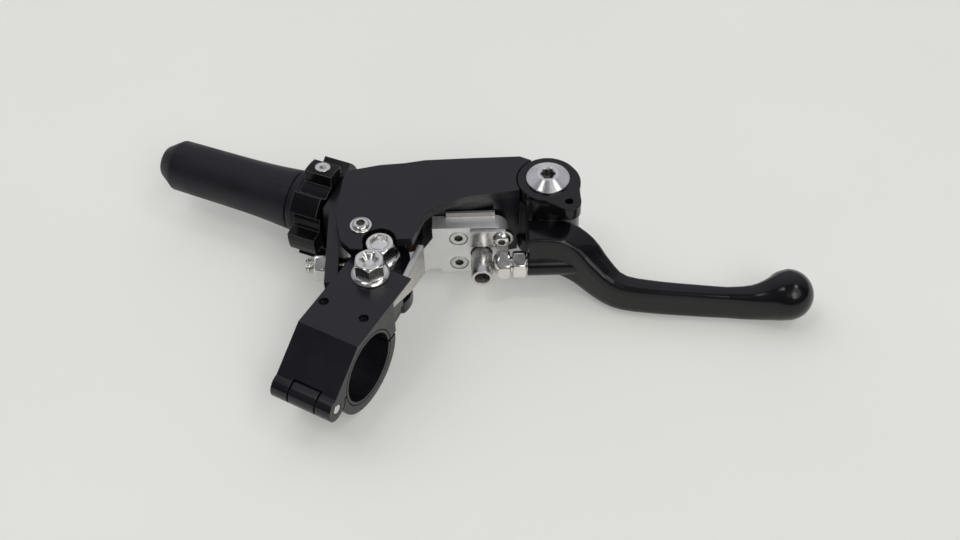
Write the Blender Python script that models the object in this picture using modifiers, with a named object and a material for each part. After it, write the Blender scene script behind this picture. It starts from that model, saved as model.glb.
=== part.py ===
"""Folding clutch lever with its handlebar perch, cable adjuster and rubber boot.

Frame: +X along the handlebar towards the lever's tip, +Y away from the rider,
+Z up. The origin is on the handlebar's axis, level with the clamp bolt.
All named sizes are in millimetres.
"""
import math

import bmesh
import bpy
from mathutils import Matrix, Vector

MM = 0.001
GAP = 0.3

# Handlebar clamp
BAR_RADIUS = 11.1
CLAMP_LEFT = -8.8
CLAMP_RIGHT = 11.7
CLAMP_WALL = 2.8
SLEEVE_WALL = 0.9
SLEEVE_SLIT = 1.2
LEDGE_TOP = 14.0
LEDGE_DEPTH = 25.8
FACET_TOP_Y = -4.0
FACET_LOW = (-17.8, 3.8)
SPLIT_GAP = 0.8
HINGE_Y = -17.4
HINGE_RADIUS = 4.1
HINGE_PIN_RADIUS = 1.5
KNUCKLE_LEFT = -2.9
KNUCKLE_RIGHT = 6.4
SWITCH_HOLES = (-6.4, 7.5)
SWITCH_HOLE_Y = 5.9
SWITCH_HOLE_RADIUS = 1.5
SWITCH_HOLE_DEPTH = 3.0

# Flanged bolts, used for the clamp and for the lever's pivot
BOLT_RADIUS = 3.0
BOLT_HEX = 8.4
BOLT_HEAD = 5.0
FLANGE_RADIUS = 5.9
FLANGE_HEIGHT = 1.5
CLAMP_BOLT_Y = LEDGE_DEPTH - 4.1
CLAMP_TAB_HALF = 7.0

# Lever pivot, between the two ears of the perch
PIVOT = (-3.0, LEDGE_DEPTH + 6.2)
EAR_RADIUS = 9.0
EAR_TOP = 8.8
EAR_THICK = 4.6
HUB_RADIUS = 6.6
HUB_HEIGHT = 8.4
BUSH_WALL = 1.5
NUT_HEIGHT = 4.0

# Side wall of the perch that carries the cable adjuster
WALL_FACE = -16.5
WALL_THICK = 4.0
WALL_START = -13.0
WALL_END = 19.0
WALL_TOP = 13.4
HOLDER_THICK = 5.0
HOLDER_TOP = 11.0
HOLDER_LOW = -9.5
HOLDER_REACH = 8.5

# Bare guard plate along the right-hand side of the perch
GUARD_PATH = (
    (CLAMP_RIGHT - 0.1, LEDGE_DEPTH - 10.0), (CLAMP_RIGHT - 1.8, LEDGE_DEPTH + 2.2),
    (CLAMP_RIGHT - 4.1, LEDGE_DEPTH + 14.2))
GUARD_THICK = 1.8
GUARD_LOW = 0.0
GUARD_HIGH = 13.0
GUARD_TAPER = (
    (LEDGE_DEPTH - 11.0, GUARD_HIGH - 1.5), (LEDGE_DEPTH + 2.2, GUARD_HIGH - 8.1),
    (LEDGE_DEPTH + 15.2, GUARD_LOW))

# Free-play stop screw
STOP_Y = 4.2
STOP_HEIGHT = 2.0
LUG_FACE = -8.7
LUG_WIDTH = 4.4
STOP_RADIUS = 2.5
STOP_HEX = 8.0
STOP_NUT_HEIGHT = 3.8
STOP_WASHER_RADIUS = 5.0
STOP_WASHER_HEIGHT = 1.0
STOP_TAIL = 2.8

# Cable adjuster
WHEEL_CENTRE = (PIVOT[0] - 32.2, PIVOT[1] + 16.1)
CABLE_HEIGHT = 1.6
CABLE_ANGLE = 5.9
WHEEL_RADIUS = 16.4
WHEEL_ROOT = 12.6
WHEEL_TEETH = 7
WHEEL_TURN = 98.0
WHEEL_WIDTH = 9.4
WHEEL_SCREW_RADIUS = 2.0
BARREL_RADIUS = 4.0
BARREL_BORE = 1.6
BARREL_LENGTH = 40.0
BARREL_INSIDE = 10.4
BOOT_LENGTH = 53.5
BOOT_START_RADIUS = 10.4
BOOT_WAIST_RADIUS = 8.7
BOOT_END_RADIUS = 8.5
BOOT_CABLE_RADIUS = 2.6

# Swinging arm
ARM_ANGLE = 30.0
ARM_TOP = 17.4
PLATE_THICK = 3.0
ARM_LOW = -9.4
HEAD_CLEAR = 5.2
FOLD_PIVOT = (52.5, 24.7)
FOLD_RADIUS = 9.6
TONGUE_RADIUS = 8.2
TONGUE_LOW = -2.8
TONGUE_HIGH = 11.6
FRONT_WALL_Y = 18.2
TRUNNION_RADIUS = 4.0
TRUNNION_HEIGHT = 9.0
ARM_SCREW = (-5.8, 6.4)
ARM_SCREW_RADIUS = 3.4

# Bare knuckle plate, its stop post and the reach adjuster
PLATE_LEFT = 15.6
PLATE_RIGHT = 39.5
PLATE_FACE_Y = 12.2
PLATE_TOP = 9.0
KNUCKLE_LOW = -11.2
KNUCKLE_ROUND = 4.6
KNUCKLE_STEP = 1.6
WING_LEFT = 7.9
WING_TOP = 5.7
WING_THICK = 1.0
LIP_LEFT = 20.0
LIP_RIGHT = 35.5
LIP_TOP = 11.0
LIP_THICK = 1.0
SINK_SCREW_X = 23.8
SINK_SCREW_HIGH = 4.2
SINK_SCREW_LOW = -7.0
SINK_SCREW_RADIUS = 2.7
BRACKET_LEFT = 27.6
BRACKET_RIGHT = 41.2
BRACKET_THICK = 1.4
BRACKET_LOW = 2.1
BRACKET_HIGH = 8.9
BUTTON_X = 37.4
BUTTON_RADIUS = 2.9
POST_X = 31.0
POST_HEIGHT = -2.6
POST_RADIUS = 3.2
POST_BORE = 2.2
POST_REACH = 11.0
REACH_Y = 6.9
REACH_FACE = POST_X + 14.4
REACH_LUG = 3.7
REACH_LUG_LENGTH = 17.0
REACH_HEX = 8.0
REACH_NUT = 4.4
REACH_RADIUS = 2.5
REACH_DEPTH = 7.0

# Lever blade
EAR_HIGH_LOW = 12.0
BLADE_ROOT_LOW = -9.0
LOBE = (58.6, 14.6)
LOBE_RADIUS = 3.8
LOBE_HOLE = 1.3
LOBE_LOW = 13.0
GRIP = (
    (REACH_FACE + 0.4, 10.2, 4.8, -6.2, 9.4, 0.2),
    (52.0, 10.3, 4.9, -6.4, 9.4, 0.2),
    (58.0, 9.8, 5.2, -7.8, 8.8, 0.25),
    (63.5, 7.4, 4.9, -10.4, 6.0, 0.35),
    (68.5, 3.2, 4.3, -12.8, 1.4, 0.45),
    (74.5, -0.8, 3.7, -14.0, -2.4, 0.5),
    (85.0, -3.2, 3.3, -14.2, -3.0, 0.5),
    (99.0, -5.2, 3.0, -14.2, -3.0, 0.5),
    (108.0, -6.2, 3.0, -14.2, -3.1, 0.55),
    (114.5, -6.6, 3.3, -14.2, -3.0, 0.6),
    (119.0, -6.4, 4.7, -14.0, -1.6, 0.75),
    (124.0, -6.0, 6.4, -13.2, 0.4, 0.9))
GRIP_RINGS = 32
GRIP_SIDES = 24
BALL = (126.4, -5.7, -6.1)
BALL_RADIUS = 7.9
CONE_RADIUS = 6.9
CONE_TOP_RADIUS = 3.4
CONE_HEIGHT = 2.6
CONE_SOCKET = 2.3
FOLD_BOLT_RADIUS = 3.0
SPRING_WIRE = 0.7
SPRING_TURNS = 4
SPRING_SEAT = 2.0


def clear_scene():
    for old in list(bpy.data.objects):
        bpy.data.objects.remove(old, do_unlink=True)


def new_collection(name):
    group = bpy.data.collections.new(name)
    bpy.context.scene.collection.children.link(group)
    return group


def metal(name, colour, roughness, metallic):
    finish = bpy.data.materials.new(name)
    finish.use_nodes = True
    shader = finish.node_tree.nodes["Principled BSDF"]
    shader.inputs["Base Color"].default_value = (*colour, 1.0)
    shader.inputs["Roughness"].default_value = roughness
    shader.inputs["Metallic"].default_value = metallic
    return finish


clear_scene()
PARTS = new_collection("clutch_lever")
TOOLS = new_collection("cutters")
BLACK = metal("black_anodised", (0.012, 0.012, 0.014), 0.35, 0.6)
BARE = metal("bare_aluminium", (0.72, 0.72, 0.73), 0.3, 1.0)
STEEL = metal("plated_steel", (0.66, 0.65, 0.62), 0.22, 1.0)
BRASS = metal("bronze", (0.55, 0.38, 0.16), 0.35, 1.0)
PLASTIC = metal("grey_plastic", (0.05, 0.05, 0.055), 0.5, 0.0)
RUBBER = metal("black_rubber", (0.015, 0.015, 0.016), 0.7, 0.0)


def frame_at(name, place, turn=None, parent=None):
    """An empty that carries pieces: place in mm, turn as a rotation matrix."""
    empty = bpy.data.objects.new(name, None)
    PARTS.objects.link(empty)
    empty.parent = parent
    turn = turn or Matrix.Identity(3)
    empty.matrix_local = Matrix.Translation(Vector(place) * MM) @ turn.to_4x4()
    return empty


def along(direction, up=(0.0, 0.0, 1.0)):
    """A rotation whose local Z runs along the direction."""
    forward = Vector(direction).normalized()
    side = Vector(up).cross(forward).normalized()
    return Matrix((side, forward.cross(side), forward)).transposed()


def put(name, mesh, finish, frame, place=(0.0, 0.0, 0.0)):
    piece = bpy.data.objects.new(name, mesh)
    PARTS.objects.link(piece)
    piece.parent = frame
    piece.location = Vector(place) * MM
    mesh.materials.clear()
    mesh.materials.append(finish)
    return piece


def make_tool(piece):
    """Turns a piece into a hidden cutter or filler."""
    PARTS.objects.unlink(piece)
    TOOLS.objects.link(piece)
    piece.hide_render = True
    piece.display_type = "WIRE"
    return piece


def boolean(target, tool, operation):
    step = target.modifiers.new(operation.lower(), "BOOLEAN")
    step.operation = operation
    step.object = make_tool(tool)
    step.solver = "EXACT"


def cut(target, tool):
    boolean(target, tool, "DIFFERENCE")


def fuse(target, tool):
    boolean(target, tool, "UNION")


def smooth(piece, angle=40.0):
    piece.data.shade_smooth()
    piece.data.set_sharp_from_angle(angle=math.radians(angle))
    return piece


def arc(centre, radius, start, end, steps):
    """Points on a circle between two angles in degrees, both ends included."""
    points = []
    for step in range(steps + 1):
        angle = math.radians(start + (end - start) * step / steps)
        points.append((centre[0] + radius * math.cos(angle), centre[1] + radius * math.sin(angle)))
    return points


def slab(name, outline, low, high, finish, frame, bevel=0.0):
    """A flat outline given thickness between two heights, as a closed mesh."""
    curve = bpy.data.curves.new(name, "CURVE")
    curve.dimensions = "2D"
    curve.fill_mode = "BOTH"
    curve.extrude = (high - low) * MM / 2.0
    spline = curve.splines.new("POLY")
    spline.points.add(len(outline) - 1)
    for point, (x, y) in zip(spline.points, outline):
        point.co = (x * MM, y * MM, 0.0, 1.0)
    spline.use_cyclic_u = True
    drawn = bpy.data.objects.new(name + "_outline", curve)
    PARTS.objects.link(drawn)
    graph = bpy.context.evaluated_depsgraph_get()
    mesh = bpy.data.meshes.new_from_object(drawn.evaluated_get(graph))
    bpy.data.objects.remove(drawn, do_unlink=True)
    form = bmesh.new()
    form.from_mesh(mesh)
    bmesh.ops.remove_doubles(form, verts=form.verts, dist=1e-6)
    bmesh.ops.recalc_face_normals(form, faces=form.faces)
    form.to_mesh(mesh)
    form.free()
    mesh.name = name
    piece = put(name, mesh, finish, frame, (0.0, 0.0, (low + high) / 2.0))
    if bevel:
        soften(piece, bevel)
    return piece


def soften(piece, width, segments=1, angle=35.0):
    edge = piece.modifiers.new("soft_edges", "BEVEL")
    edge.width = width * MM
    edge.segments = segments
    edge.limit_method = "ANGLE"
    edge.angle_limit = math.radians(angle)


def drum(name, radius, low, high, finish, frame, at=(0.0, 0.0), sides=32, top_radius=None, turn=0.0):
    """A cylinder, prism or cone along the frame's Z between two heights."""
    form = bmesh.new()
    bmesh.ops.create_cone(
        form, cap_ends=True, segments=sides, radius1=radius * MM,
        radius2=(radius if top_radius is None else top_radius) * MM, depth=(high - low) * MM,
        matrix=Matrix.Rotation(math.radians(turn), 4, "Z"))
    mesh = bpy.data.meshes.new(name)
    form.to_mesh(mesh)
    form.free()
    piece = put(name, mesh, finish, frame, (at[0], at[1], (low + high) / 2.0))
    return smooth(piece) if sides > 8 else piece


def block(name, low, high, finish, frame):
    """A box between two corners."""
    form = bmesh.new()
    size = Vector(high) - Vector(low)
    bmesh.ops.create_cube(form, size=1.0, matrix=Matrix.Diagonal((size * MM).to_4d()))
    mesh = bpy.data.meshes.new(name)
    form.to_mesh(mesh)
    form.free()
    middle = (Vector(high) + Vector(low)) / 2.0
    return put(name, mesh, finish, frame, middle)


def hexagon(name, flats, low, high, finish, frame, at=(0.0, 0.0), turn=0.0):
    corner = flats / 2.0 / math.cos(math.radians(30.0))
    return drum(name, corner, low, high, finish, frame, at, 6, turn=turn)


def turned(name, profile, finish, frame, steps=32, place=(0.0, 0.0, 0.0)):
    """A profile of (radius, height) points, run top to bottom, spun round Z."""
    mesh = bpy.data.meshes.new(name)
    points = [(radius * MM, 0.0, height * MM) for radius, height in profile]
    mesh.from_pydata(points, [(i, i + 1) for i in range(len(points) - 1)], [])
    piece = put(name, mesh, finish, frame, place)
    spin = piece.modifiers.new("spin", "SCREW")
    spin.steps = steps
    spin.render_steps = steps
    spin.use_merge_vertices = True
    spin.merge_threshold = 0.000005
    spin.use_smooth_shade = True
    return piece


def flange_bolt(name, seat, tip, frame, at, turn=0.0):
    """A flanged hexagon bolt, standing on its seat, with a socket in its head."""
    profile = [
        (0.0, seat + FLANGE_HEIGHT), (FLANGE_RADIUS - 1.2, seat + FLANGE_HEIGHT),
        (FLANGE_RADIUS, seat + FLANGE_HEIGHT / 2.0), (FLANGE_RADIUS, seat),
        (BOLT_RADIUS, seat), (BOLT_RADIUS, tip + 0.6), (BOLT_RADIUS - 0.6, tip), (0.0, tip)]
    bolt = turned(name, profile, STEEL, frame, 24, (at[0], at[1], 0.0))
    head_top = seat + FLANGE_HEIGHT + BOLT_HEAD
    fuse(bolt, hexagon(name + "_hex", BOLT_HEX, seat + FLANGE_HEIGHT / 2.0, head_top, STEEL, frame,
        at, turn))
    cut(bolt, hexagon(name + "_socket", BOLT_HEX / 2.0, head_top - 2.5, head_top + 1.0, STEEL,
        frame, at, turn))
    return bolt


BAR = frame_at("bar_axis", (0.0, 0.0, 0.0))
ACROSS = frame_at("clamp_profile", (0.0, 0.0, 0.0), along((1.0, 0.0, 0.0)))
ARM_TURN = Matrix.Rotation(math.radians(ARM_ANGLE), 3, "Z")
PERCH_SIDE = frame_at("perch_side", (*PIVOT, 0.0), ARM_TURN)
SWING = frame_at("lever_pivot", (*PIVOT, 0.0), ARM_TURN)
FOLD = frame_at("fold_pivot", (*FOLD_PIVOT, 0.0), parent=SWING)
cable = math.radians(CABLE_ANGLE)
OUTWARD = (-math.cos(cable), -math.sin(cable), 0.0)
CABLE = frame_at("cable_axis", (*WHEEL_CENTRE, CABLE_HEIGHT), along(OUTWARD))
STOP = frame_at("stop_axis", (WALL_FACE, STOP_Y, STOP_HEIGHT), along((-1.0, 0.0, 0.0)), PERCH_SIDE)

split = SPLIT_GAP / 2.0
clamp_bore = BAR_RADIUS + SLEEVE_WALL + GAP
clamp_outer = clamp_bore + CLAMP_WALL
bolt_hole = BOLT_RADIUS + GAP
ear_low = EAR_TOP - EAR_THICK
hub_high = ear_low - GAP
hub_low = hub_high - HUB_HEIGHT
lower_ear_high = hub_low - GAP
lower_ear_low = lower_ear_high - EAR_THICK
plate_low = ARM_TOP - PLATE_THICK
trunnion_top = CABLE_HEIGHT + TRUNNION_HEIGHT / 2.0
holder_near = -WHEEL_WIDTH / 2.0 - 0.7


def strip(path, thickness):
    """An outline of even thickness on the left-hand side of a path."""
    inner = []
    for index, point in enumerate(path):
        ahead = Vector(path[min(index + 1, len(path) - 1)]) - Vector(path[max(index - 1, 0)])
        normal = Vector((-ahead.y, ahead.x)).normalized()
        inner.append(tuple(Vector(point) + normal * thickness))
    return list(path) + inner[::-1]


def make_perch():
    """Upper clamp half with its ledge, the two pivot ears and the adjuster's wall."""
    side_view = [
        (LEDGE_DEPTH, split), (LEDGE_DEPTH, LEDGE_TOP), (FACET_TOP_Y, LEDGE_TOP),
        FACET_LOW, (HINGE_Y + 1.0, split)]
    perch = slab("perch_body", side_view, CLAMP_LEFT, CLAMP_RIGHT, BLACK, ACROSS)
    for name, ends in (("left", (CLAMP_LEFT, KNUCKLE_LEFT)), ("right", (KNUCKLE_RIGHT, CLAMP_RIGHT))):
        fuse(perch, drum("knuckle_" + name, HINGE_RADIUS, *ends, BLACK, ACROSS, (HINGE_Y, 0.0), 24))
    cut(perch, drum("hub_room", HUB_RADIUS + 0.6, lower_ear_high, ear_low + GAP, BLACK, BAR, PIVOT))
    upper = arc(PIVOT, EAR_RADIUS, 0.0, 180.0, 16)
    upper += [(PIVOT[0] - EAR_RADIUS, LEDGE_DEPTH - 4.0), (PIVOT[0] + EAR_RADIUS, LEDGE_DEPTH - 4.0)]
    fuse(perch, slab("upper_ear", upper, ear_low, EAR_TOP, BLACK, BAR))
    wall_inner = WALL_FACE + WALL_THICK
    wall = [(WALL_FACE, WALL_START), (wall_inner, WALL_START), (wall_inner, WALL_END),
        (WALL_FACE, WALL_END)]
    fuse(perch, slab("side_wall", wall, split, WALL_TOP, BLACK, PERCH_SIDE))
    lower_wall = [(WALL_FACE, -1.0), (wall_inner, -1.0), (wall_inner, WALL_END), (WALL_FACE, WALL_END)]
    fuse(perch, slab("lower_wall", lower_wall, lower_ear_low, split + 1.0, BLACK, PERCH_SIDE))
    lower = arc((0.0, 0.0), EAR_RADIUS, -45.0, 110.0, 16)
    lower += [(wall_inner - 1.0, EAR_RADIUS), (wall_inner - 1.0, -0.5), (0.0, -7.0)]
    fuse(perch, slab("lower_ear", lower, lower_ear_low, lower_ear_high, BLACK, PERCH_SIDE))
    fuse(perch, block(
        "adjuster_holder", (-HOLDER_REACH, HOLDER_LOW, holder_near - HOLDER_THICK),
        (10.0, HOLDER_TOP, holder_near), BLACK, CABLE))
    cut(perch, drum("bar_bore", clamp_bore, CLAMP_LEFT - 2.0, CLAMP_RIGHT + 2.0, BLACK, ACROSS,
        sides=48))
    cut(perch, drum(
        "pin_hole", HINGE_PIN_RADIUS + GAP, CLAMP_LEFT - 2.0, CLAMP_RIGHT + 2.0, BLACK, ACROSS,
        (HINGE_Y, 0.0), 16))
    cut(perch, drum(
        "middle_knuckle_room", HINGE_RADIUS + 0.6, KNUCKLE_LEFT - GAP, KNUCKLE_RIGHT + GAP, BLACK,
        ACROSS,
        (HINGE_Y, 0.0), 24))
    cut(perch, drum("pivot_hole", bolt_hole, lower_ear_low - 2.0, EAR_TOP + 2.0, BLACK, BAR, PIVOT, 24))
    cut(perch, drum("clamp_bolt_hole", bolt_hole, -2.0, LEDGE_TOP + 2.0, BLACK, BAR,
        (0.0, CLAMP_BOLT_Y), 24))
    for x in SWITCH_HOLES:
        cut(perch, drum(
            "switch_hole", SWITCH_HOLE_RADIUS, LEDGE_TOP - SWITCH_HOLE_DEPTH + 1.4, LEDGE_TOP + 2.0,
            BLACK, BAR,
            (x, SWITCH_HOLE_Y), 16))
    cut(perch, drum("adjuster_hole", BARREL_RADIUS + GAP, holder_near - 8.0, 2.0, BLACK, CABLE,
        sides=24))
    cut(perch, drum("stop_hole", STOP_RADIUS + GAP, -12.0, 4.0, BLACK, STOP, sides=20))
    inner = strip(GUARD_PATH, GUARD_THICK + GAP)[len(GUARD_PATH):]
    beside = CLAMP_RIGHT + 10.0
    foot = GUARD_PATH[0][1] - GAP
    room = inner[:-1] + [(inner[-1][0], foot), (beside, foot), (beside, inner[0][1])]
    cut(perch, slab("guard_room", room, GUARD_LOW - 1.0, GUARD_HIGH + GAP, BLACK, BAR))
    return perch


def make_clamp_half():
    """Lower clamp half: a half ring with a hinge knuckle and a bolt tab."""
    ring = arc((0.0, 0.0), clamp_outer, 180.0, 360.0, 24)
    ring = [(y, min(z, -split)) for y, z in ring]
    lower = slab("clamp_half", ring, CLAMP_LEFT, CLAMP_RIGHT, BLACK, ACROSS)
    tab_low = lower_ear_high + GAP
    tab = [(10.0, -split), (LEDGE_DEPTH, -split), (LEDGE_DEPTH, tab_low), (10.0, -9.0)]
    fuse(lower, slab("bolt_tab", tab, -CLAMP_TAB_HALF, CLAMP_TAB_HALF, BLACK, ACROSS))
    knuckle = arc((HINGE_Y, 0.0), HINGE_RADIUS, 0.0, 345.0, 23)
    left = KNUCKLE_LEFT + GAP
    right = KNUCKLE_RIGHT - GAP
    fuse(lower, slab("middle_knuckle", knuckle, left, right, BLACK, ACROSS))
    web = [(HINGE_Y, -split), (HINGE_Y, -HINGE_RADIUS), (-9.0, -11.5), (-9.0, -split)]
    fuse(lower, slab("knuckle_web", web, left, right, BLACK, ACROSS))
    cut(lower, drum("lower_bore", clamp_bore, CLAMP_LEFT - 2.0, CLAMP_RIGHT + 2.0, BLACK, ACROSS,
        sides=48))
    cut(lower, drum("pin_hole_low", HINGE_PIN_RADIUS + GAP, left - 1.0, right + 1.0, BLACK, ACROSS,
        (HINGE_Y, 0.0), 16))
    for name, ends in (("a", (CLAMP_LEFT - 1.0, left)), ("b", (right, CLAMP_RIGHT + 1.0))):
        cut(lower, drum("outer_knuckle_room_" + name, HINGE_RADIUS + 0.5, *ends, BLACK, ACROSS,
            (HINGE_Y, 0.0), 24))
    cut(lower, drum("clamp_thread", bolt_hole, -12.0, 2.0, BLACK, BAR, (0.0, CLAMP_BOLT_Y), 24))
    cut(lower, drum("hub_room_low", HUB_RADIUS + 0.6, lower_ear_high - 1.0, ear_low, BLACK, BAR, PIVOT))
    return lower


def make_perch_fittings():
    """Bar sleeve, hinge pin, clamp and pivot bolts, pivot nut, guard plate and stop screw."""
    sleeve = drum("bar_sleeve", BAR_RADIUS + SLEEVE_WALL, CLAMP_LEFT, CLAMP_RIGHT, PLASTIC, ACROSS,
        sides=48)
    cut(sleeve, drum("sleeve_bore", BAR_RADIUS, CLAMP_LEFT - 1.0, CLAMP_RIGHT + 1.0, PLASTIC,
        ACROSS, sides=48))
    slit = SLEEVE_SLIT / 2.0
    cut(sleeve, block("sleeve_slit", (5.0, -slit, CLAMP_LEFT - 1.0),
        (15.0, slit, CLAMP_RIGHT + 1.0), PLASTIC, ACROSS))
    drum("hinge_pin", HINGE_PIN_RADIUS, CLAMP_LEFT, CLAMP_RIGHT, STEEL, ACROSS, (HINGE_Y, 0.0), 16)
    flange_bolt("clamp_bolt", LEDGE_TOP, lower_ear_high + GAP, BAR, (0.0, CLAMP_BOLT_Y), 30.0)
    nut_low = lower_ear_low - NUT_HEIGHT
    flange_bolt("pivot_bolt", EAR_TOP, nut_low - 0.6, BAR, PIVOT, -14.0)
    nut = hexagon("pivot_nut", BOLT_HEX + 2.0, nut_low, lower_ear_low, STEEL, BAR, PIVOT)
    cut(nut, drum("pivot_nut_bore", bolt_hole, nut_low - 1.0, lower_ear_low + 1.0, STEEL, BAR,
        PIVOT, 24))
    guard = slab("guard_plate", strip(GUARD_PATH, GUARD_THICK), GUARD_LOW, GUARD_HIGH, BARE, BAR)
    below = [(GUARD_TAPER[2][0], GUARD_LOW - 2.0), (GUARD_TAPER[0][0], GUARD_LOW - 2.0)]
    cut(guard, slab("guard_taper", list(GUARD_TAPER) + below, CLAMP_RIGHT - 9.0, CLAMP_RIGHT + 3.0,
        BARE, ACROSS))
    tip = WALL_FACE - LUG_FACE + GAP
    tail = STOP_WASHER_HEIGHT + STOP_NUT_HEIGHT + STOP_TAIL
    screw = drum("stop_screw", STOP_RADIUS, tip, tail, STEEL, STOP, sides=20)
    cut(screw, block("stop_slot", (-4.0, -0.5, tail - 1.4), (4.0, 0.5, tail + 1.0), STEEL, STOP))
    washer = drum("stop_washer", STOP_WASHER_RADIUS, 0.0, STOP_WASHER_HEIGHT, STEEL, STOP)
    cut(washer, drum("washer_hole", STOP_RADIUS + GAP, -1.0, 2.0, STEEL, STOP, sides=20))
    nut_top = STOP_WASHER_HEIGHT + STOP_NUT_HEIGHT
    stop_nut = hexagon("stop_nut", STOP_HEX, STOP_WASHER_HEIGHT, nut_top, STEEL, STOP)
    cut(stop_nut, drum("stop_nut_hole", STOP_RADIUS + GAP, 0.0, nut_top + 1.0, STEEL, STOP, sides=20))


def make_adjuster():
    """Star wheel with its screw, threaded barrel and rubber boot on the cable's axis."""
    near = -WHEEL_WIDTH / 2.0
    far = WHEEL_WIDTH / 2.0
    pitch = 360.0 / WHEEL_TEETH
    outline = []
    for tooth in range(WHEEL_TEETH):
        middle = WHEEL_TURN + tooth * pitch
        outline += arc((0.0, 0.0), WHEEL_RADIUS, middle - pitch * 0.23, middle + pitch * 0.23, 3)
        outline += arc((0.0, 0.0), WHEEL_ROOT, middle + pitch * 0.31, middle + pitch * 0.69, 3)
    wheel = slab("star_wheel", outline, near, far, BLACK, CABLE)
    cut(wheel, drum("wheel_bore", BARREL_RADIUS + GAP, near - 1.0, far + 1.0, BLACK, CABLE, sides=24))
    lean = math.radians(WHEEL_TURN)
    out = (math.cos(lean), math.sin(lean), 0.0)
    seat = (WHEEL_RADIUS * out[0], WHEEL_RADIUS * out[1], 0.0)
    upright = frame_at("wheel_screw_axis", seat, along(out), CABLE)
    cut(wheel, drum("screw_room", WHEEL_SCREW_RADIUS + GAP, -4.0, 3.0, BLACK, upright, sides=20))
    screw = drum("wheel_screw", WHEEL_SCREW_RADIUS, -3.7, 0.2, STEEL, upright, sides=20)
    cut(screw, hexagon("wheel_screw_socket", 2.0, -1.2, 1.0, STEEL, upright))
    outside = BARREL_LENGTH - BARREL_INSIDE
    barrel = drum("adjuster_barrel", BARREL_RADIUS, -BARREL_INSIDE, outside, STEEL, CABLE, sides=24)
    cut(barrel, drum("barrel_bore", BARREL_BORE, -BARREL_INSIDE - 1.0, outside + 1.0, STEEL, CABLE,
        sides=16))
    start = far + 1.0
    end = start + BOOT_LENGTH
    inner = BARREL_RADIUS + GAP
    deep = outside + 0.6
    profile = [
        (BOOT_CABLE_RADIUS, end), (BOOT_END_RADIUS - 2.0, end), (BOOT_END_RADIUS, end - 2.4),
        (BOOT_WAIST_RADIUS, end - 12.0), (BOOT_WAIST_RADIUS, start + 22.0),
        (BOOT_START_RADIUS - 0.6, start + 7.0),
        (BOOT_START_RADIUS, start + 3.0), (BOOT_START_RADIUS - 0.8, start), (inner, start),
        (inner, deep),
        (BOOT_CABLE_RADIUS, deep), (BOOT_CABLE_RADIUS, end)]
    turned("boot", profile, RUBBER, CABLE, 32)


def make_arm():
    """Swinging arm: top plate, web, pivot hub with a stop lug, and fold tongue."""
    plate = [
        (-14.0, 11.7), (-12.0, 1.0), (-8.7, -3.2), (-4.8, -3.4), (7.9, -5.1), (9.9, 0.2), (13.8, 10.7),
        (18.5, 14.9), (27.8, 18.2), (40.4, 19.8), (44.0, 20.6), (52.5, 24.7), (47.5, 33.6),
        (44.1, 35.4),
        (28.1, 35.2), (13.7, 34.8), (7.3, 33.7), (-0.7, 33.1), (-11.8, 30.7)]
    arm = slab("swing_arm", plate, plate_low, ARM_TOP, BLACK, SWING)
    web = [(-11.0, 13.0), (5.5, 12.0), (9.6, 15.2), (10.8, FRONT_WALL_Y),
        (27.8, FRONT_WALL_Y + 0.05), (40.4, 19.7), (43.5, 20.4)]
    web += arc(FOLD_PIVOT, TONGUE_RADIUS, -130.0, 80.0, 18)
    web += [(47.4, 33.4), (44.0, 35.2), (28.1, 35.0), (13.7, 34.6), (7.3, 33.5), (-6.2, 31.5),
        (-8.2, 26.5)]
    fuse(arm, slab("arm_web", web, ARM_LOW, plate_low + 0.5, BLACK, SWING))
    fuse(arm, drum("arm_hub", HUB_RADIUS, hub_low, hub_high, BLACK, SWING))
    neck = [(LUG_FACE, STOP_Y - LUG_WIDTH / 2.0), (-4.0, STOP_Y - LUG_WIDTH / 2.0), (3.6, 4.0),
        (5.4, 14.0), (-9.0, 16.0), (LUG_FACE, 12.0)]
    fuse(arm, slab("arm_neck", neck, hub_low, hub_high, BLACK, SWING))
    cut(arm, drum("head_room", HEAD_CLEAR, plate_low - 1.0, ARM_TOP + 2.0, BLACK, SWING))
    cut(arm, drum("bush_room", BOLT_RADIUS + GAP + BUSH_WALL + GAP, hub_low - 2.0, hub_high + 2.0,
        BLACK, SWING))
    cut(arm, drum("upper_fork_room", FOLD_RADIUS + 0.4, TONGUE_HIGH, ARM_TOP + 2.0, BLACK, FOLD,
        sides=40))
    cut(arm, drum("lower_fork_room", FOLD_RADIUS + 1.3, ARM_LOW - 2.0, TONGUE_LOW, BLACK, FOLD,
        sides=40))
    cut(arm, drum("fold_bush_room", FOLD_BOLT_RADIUS + 1.6 + 2.0 * GAP, TONGUE_LOW - 2.0,
        TONGUE_HIGH + 2.0, BLACK, FOLD, sides=24))
    cut(arm, drum("spring_room", 6.8, SPRING_SEAT, TONGUE_HIGH + 2.0, BLACK, FOLD, sides=28))
    cut(arm, drum("trunnion_room", TRUNNION_RADIUS + GAP, ARM_LOW - 2.0, trunnion_top + GAP, BLACK,
        SWING, trunnion_at(), 24))
    slot = frame_at("cable_slot_axis", (*trunnion_at(), CABLE_HEIGHT), along(cable_in_arm()), SWING)
    cut(arm, block("cable_slot", (-2.4, -2.0, 0.0), (2.4, 2.0, 26.0), BLACK, slot))
    cut(arm, drum("arm_screw_hole", 1.5 + GAP, plate_low - 1.0, ARM_TOP + 1.0, BLACK, SWING,
        ARM_SCREW, 16))
    for height in (SINK_SCREW_HIGH, SINK_SCREW_LOW):
        cut(arm, drum("sink_hole", 1.5 + GAP, 4.0, 13.0, BLACK, sink_axis(height), sides=16))
    return arm


def cable_in_arm():
    """The cable's outward direction seen in the arm's own frame."""
    turn = math.radians(CABLE_ANGLE - ARM_ANGLE)
    return (-math.cos(turn), -math.sin(turn), 0.0)


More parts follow.
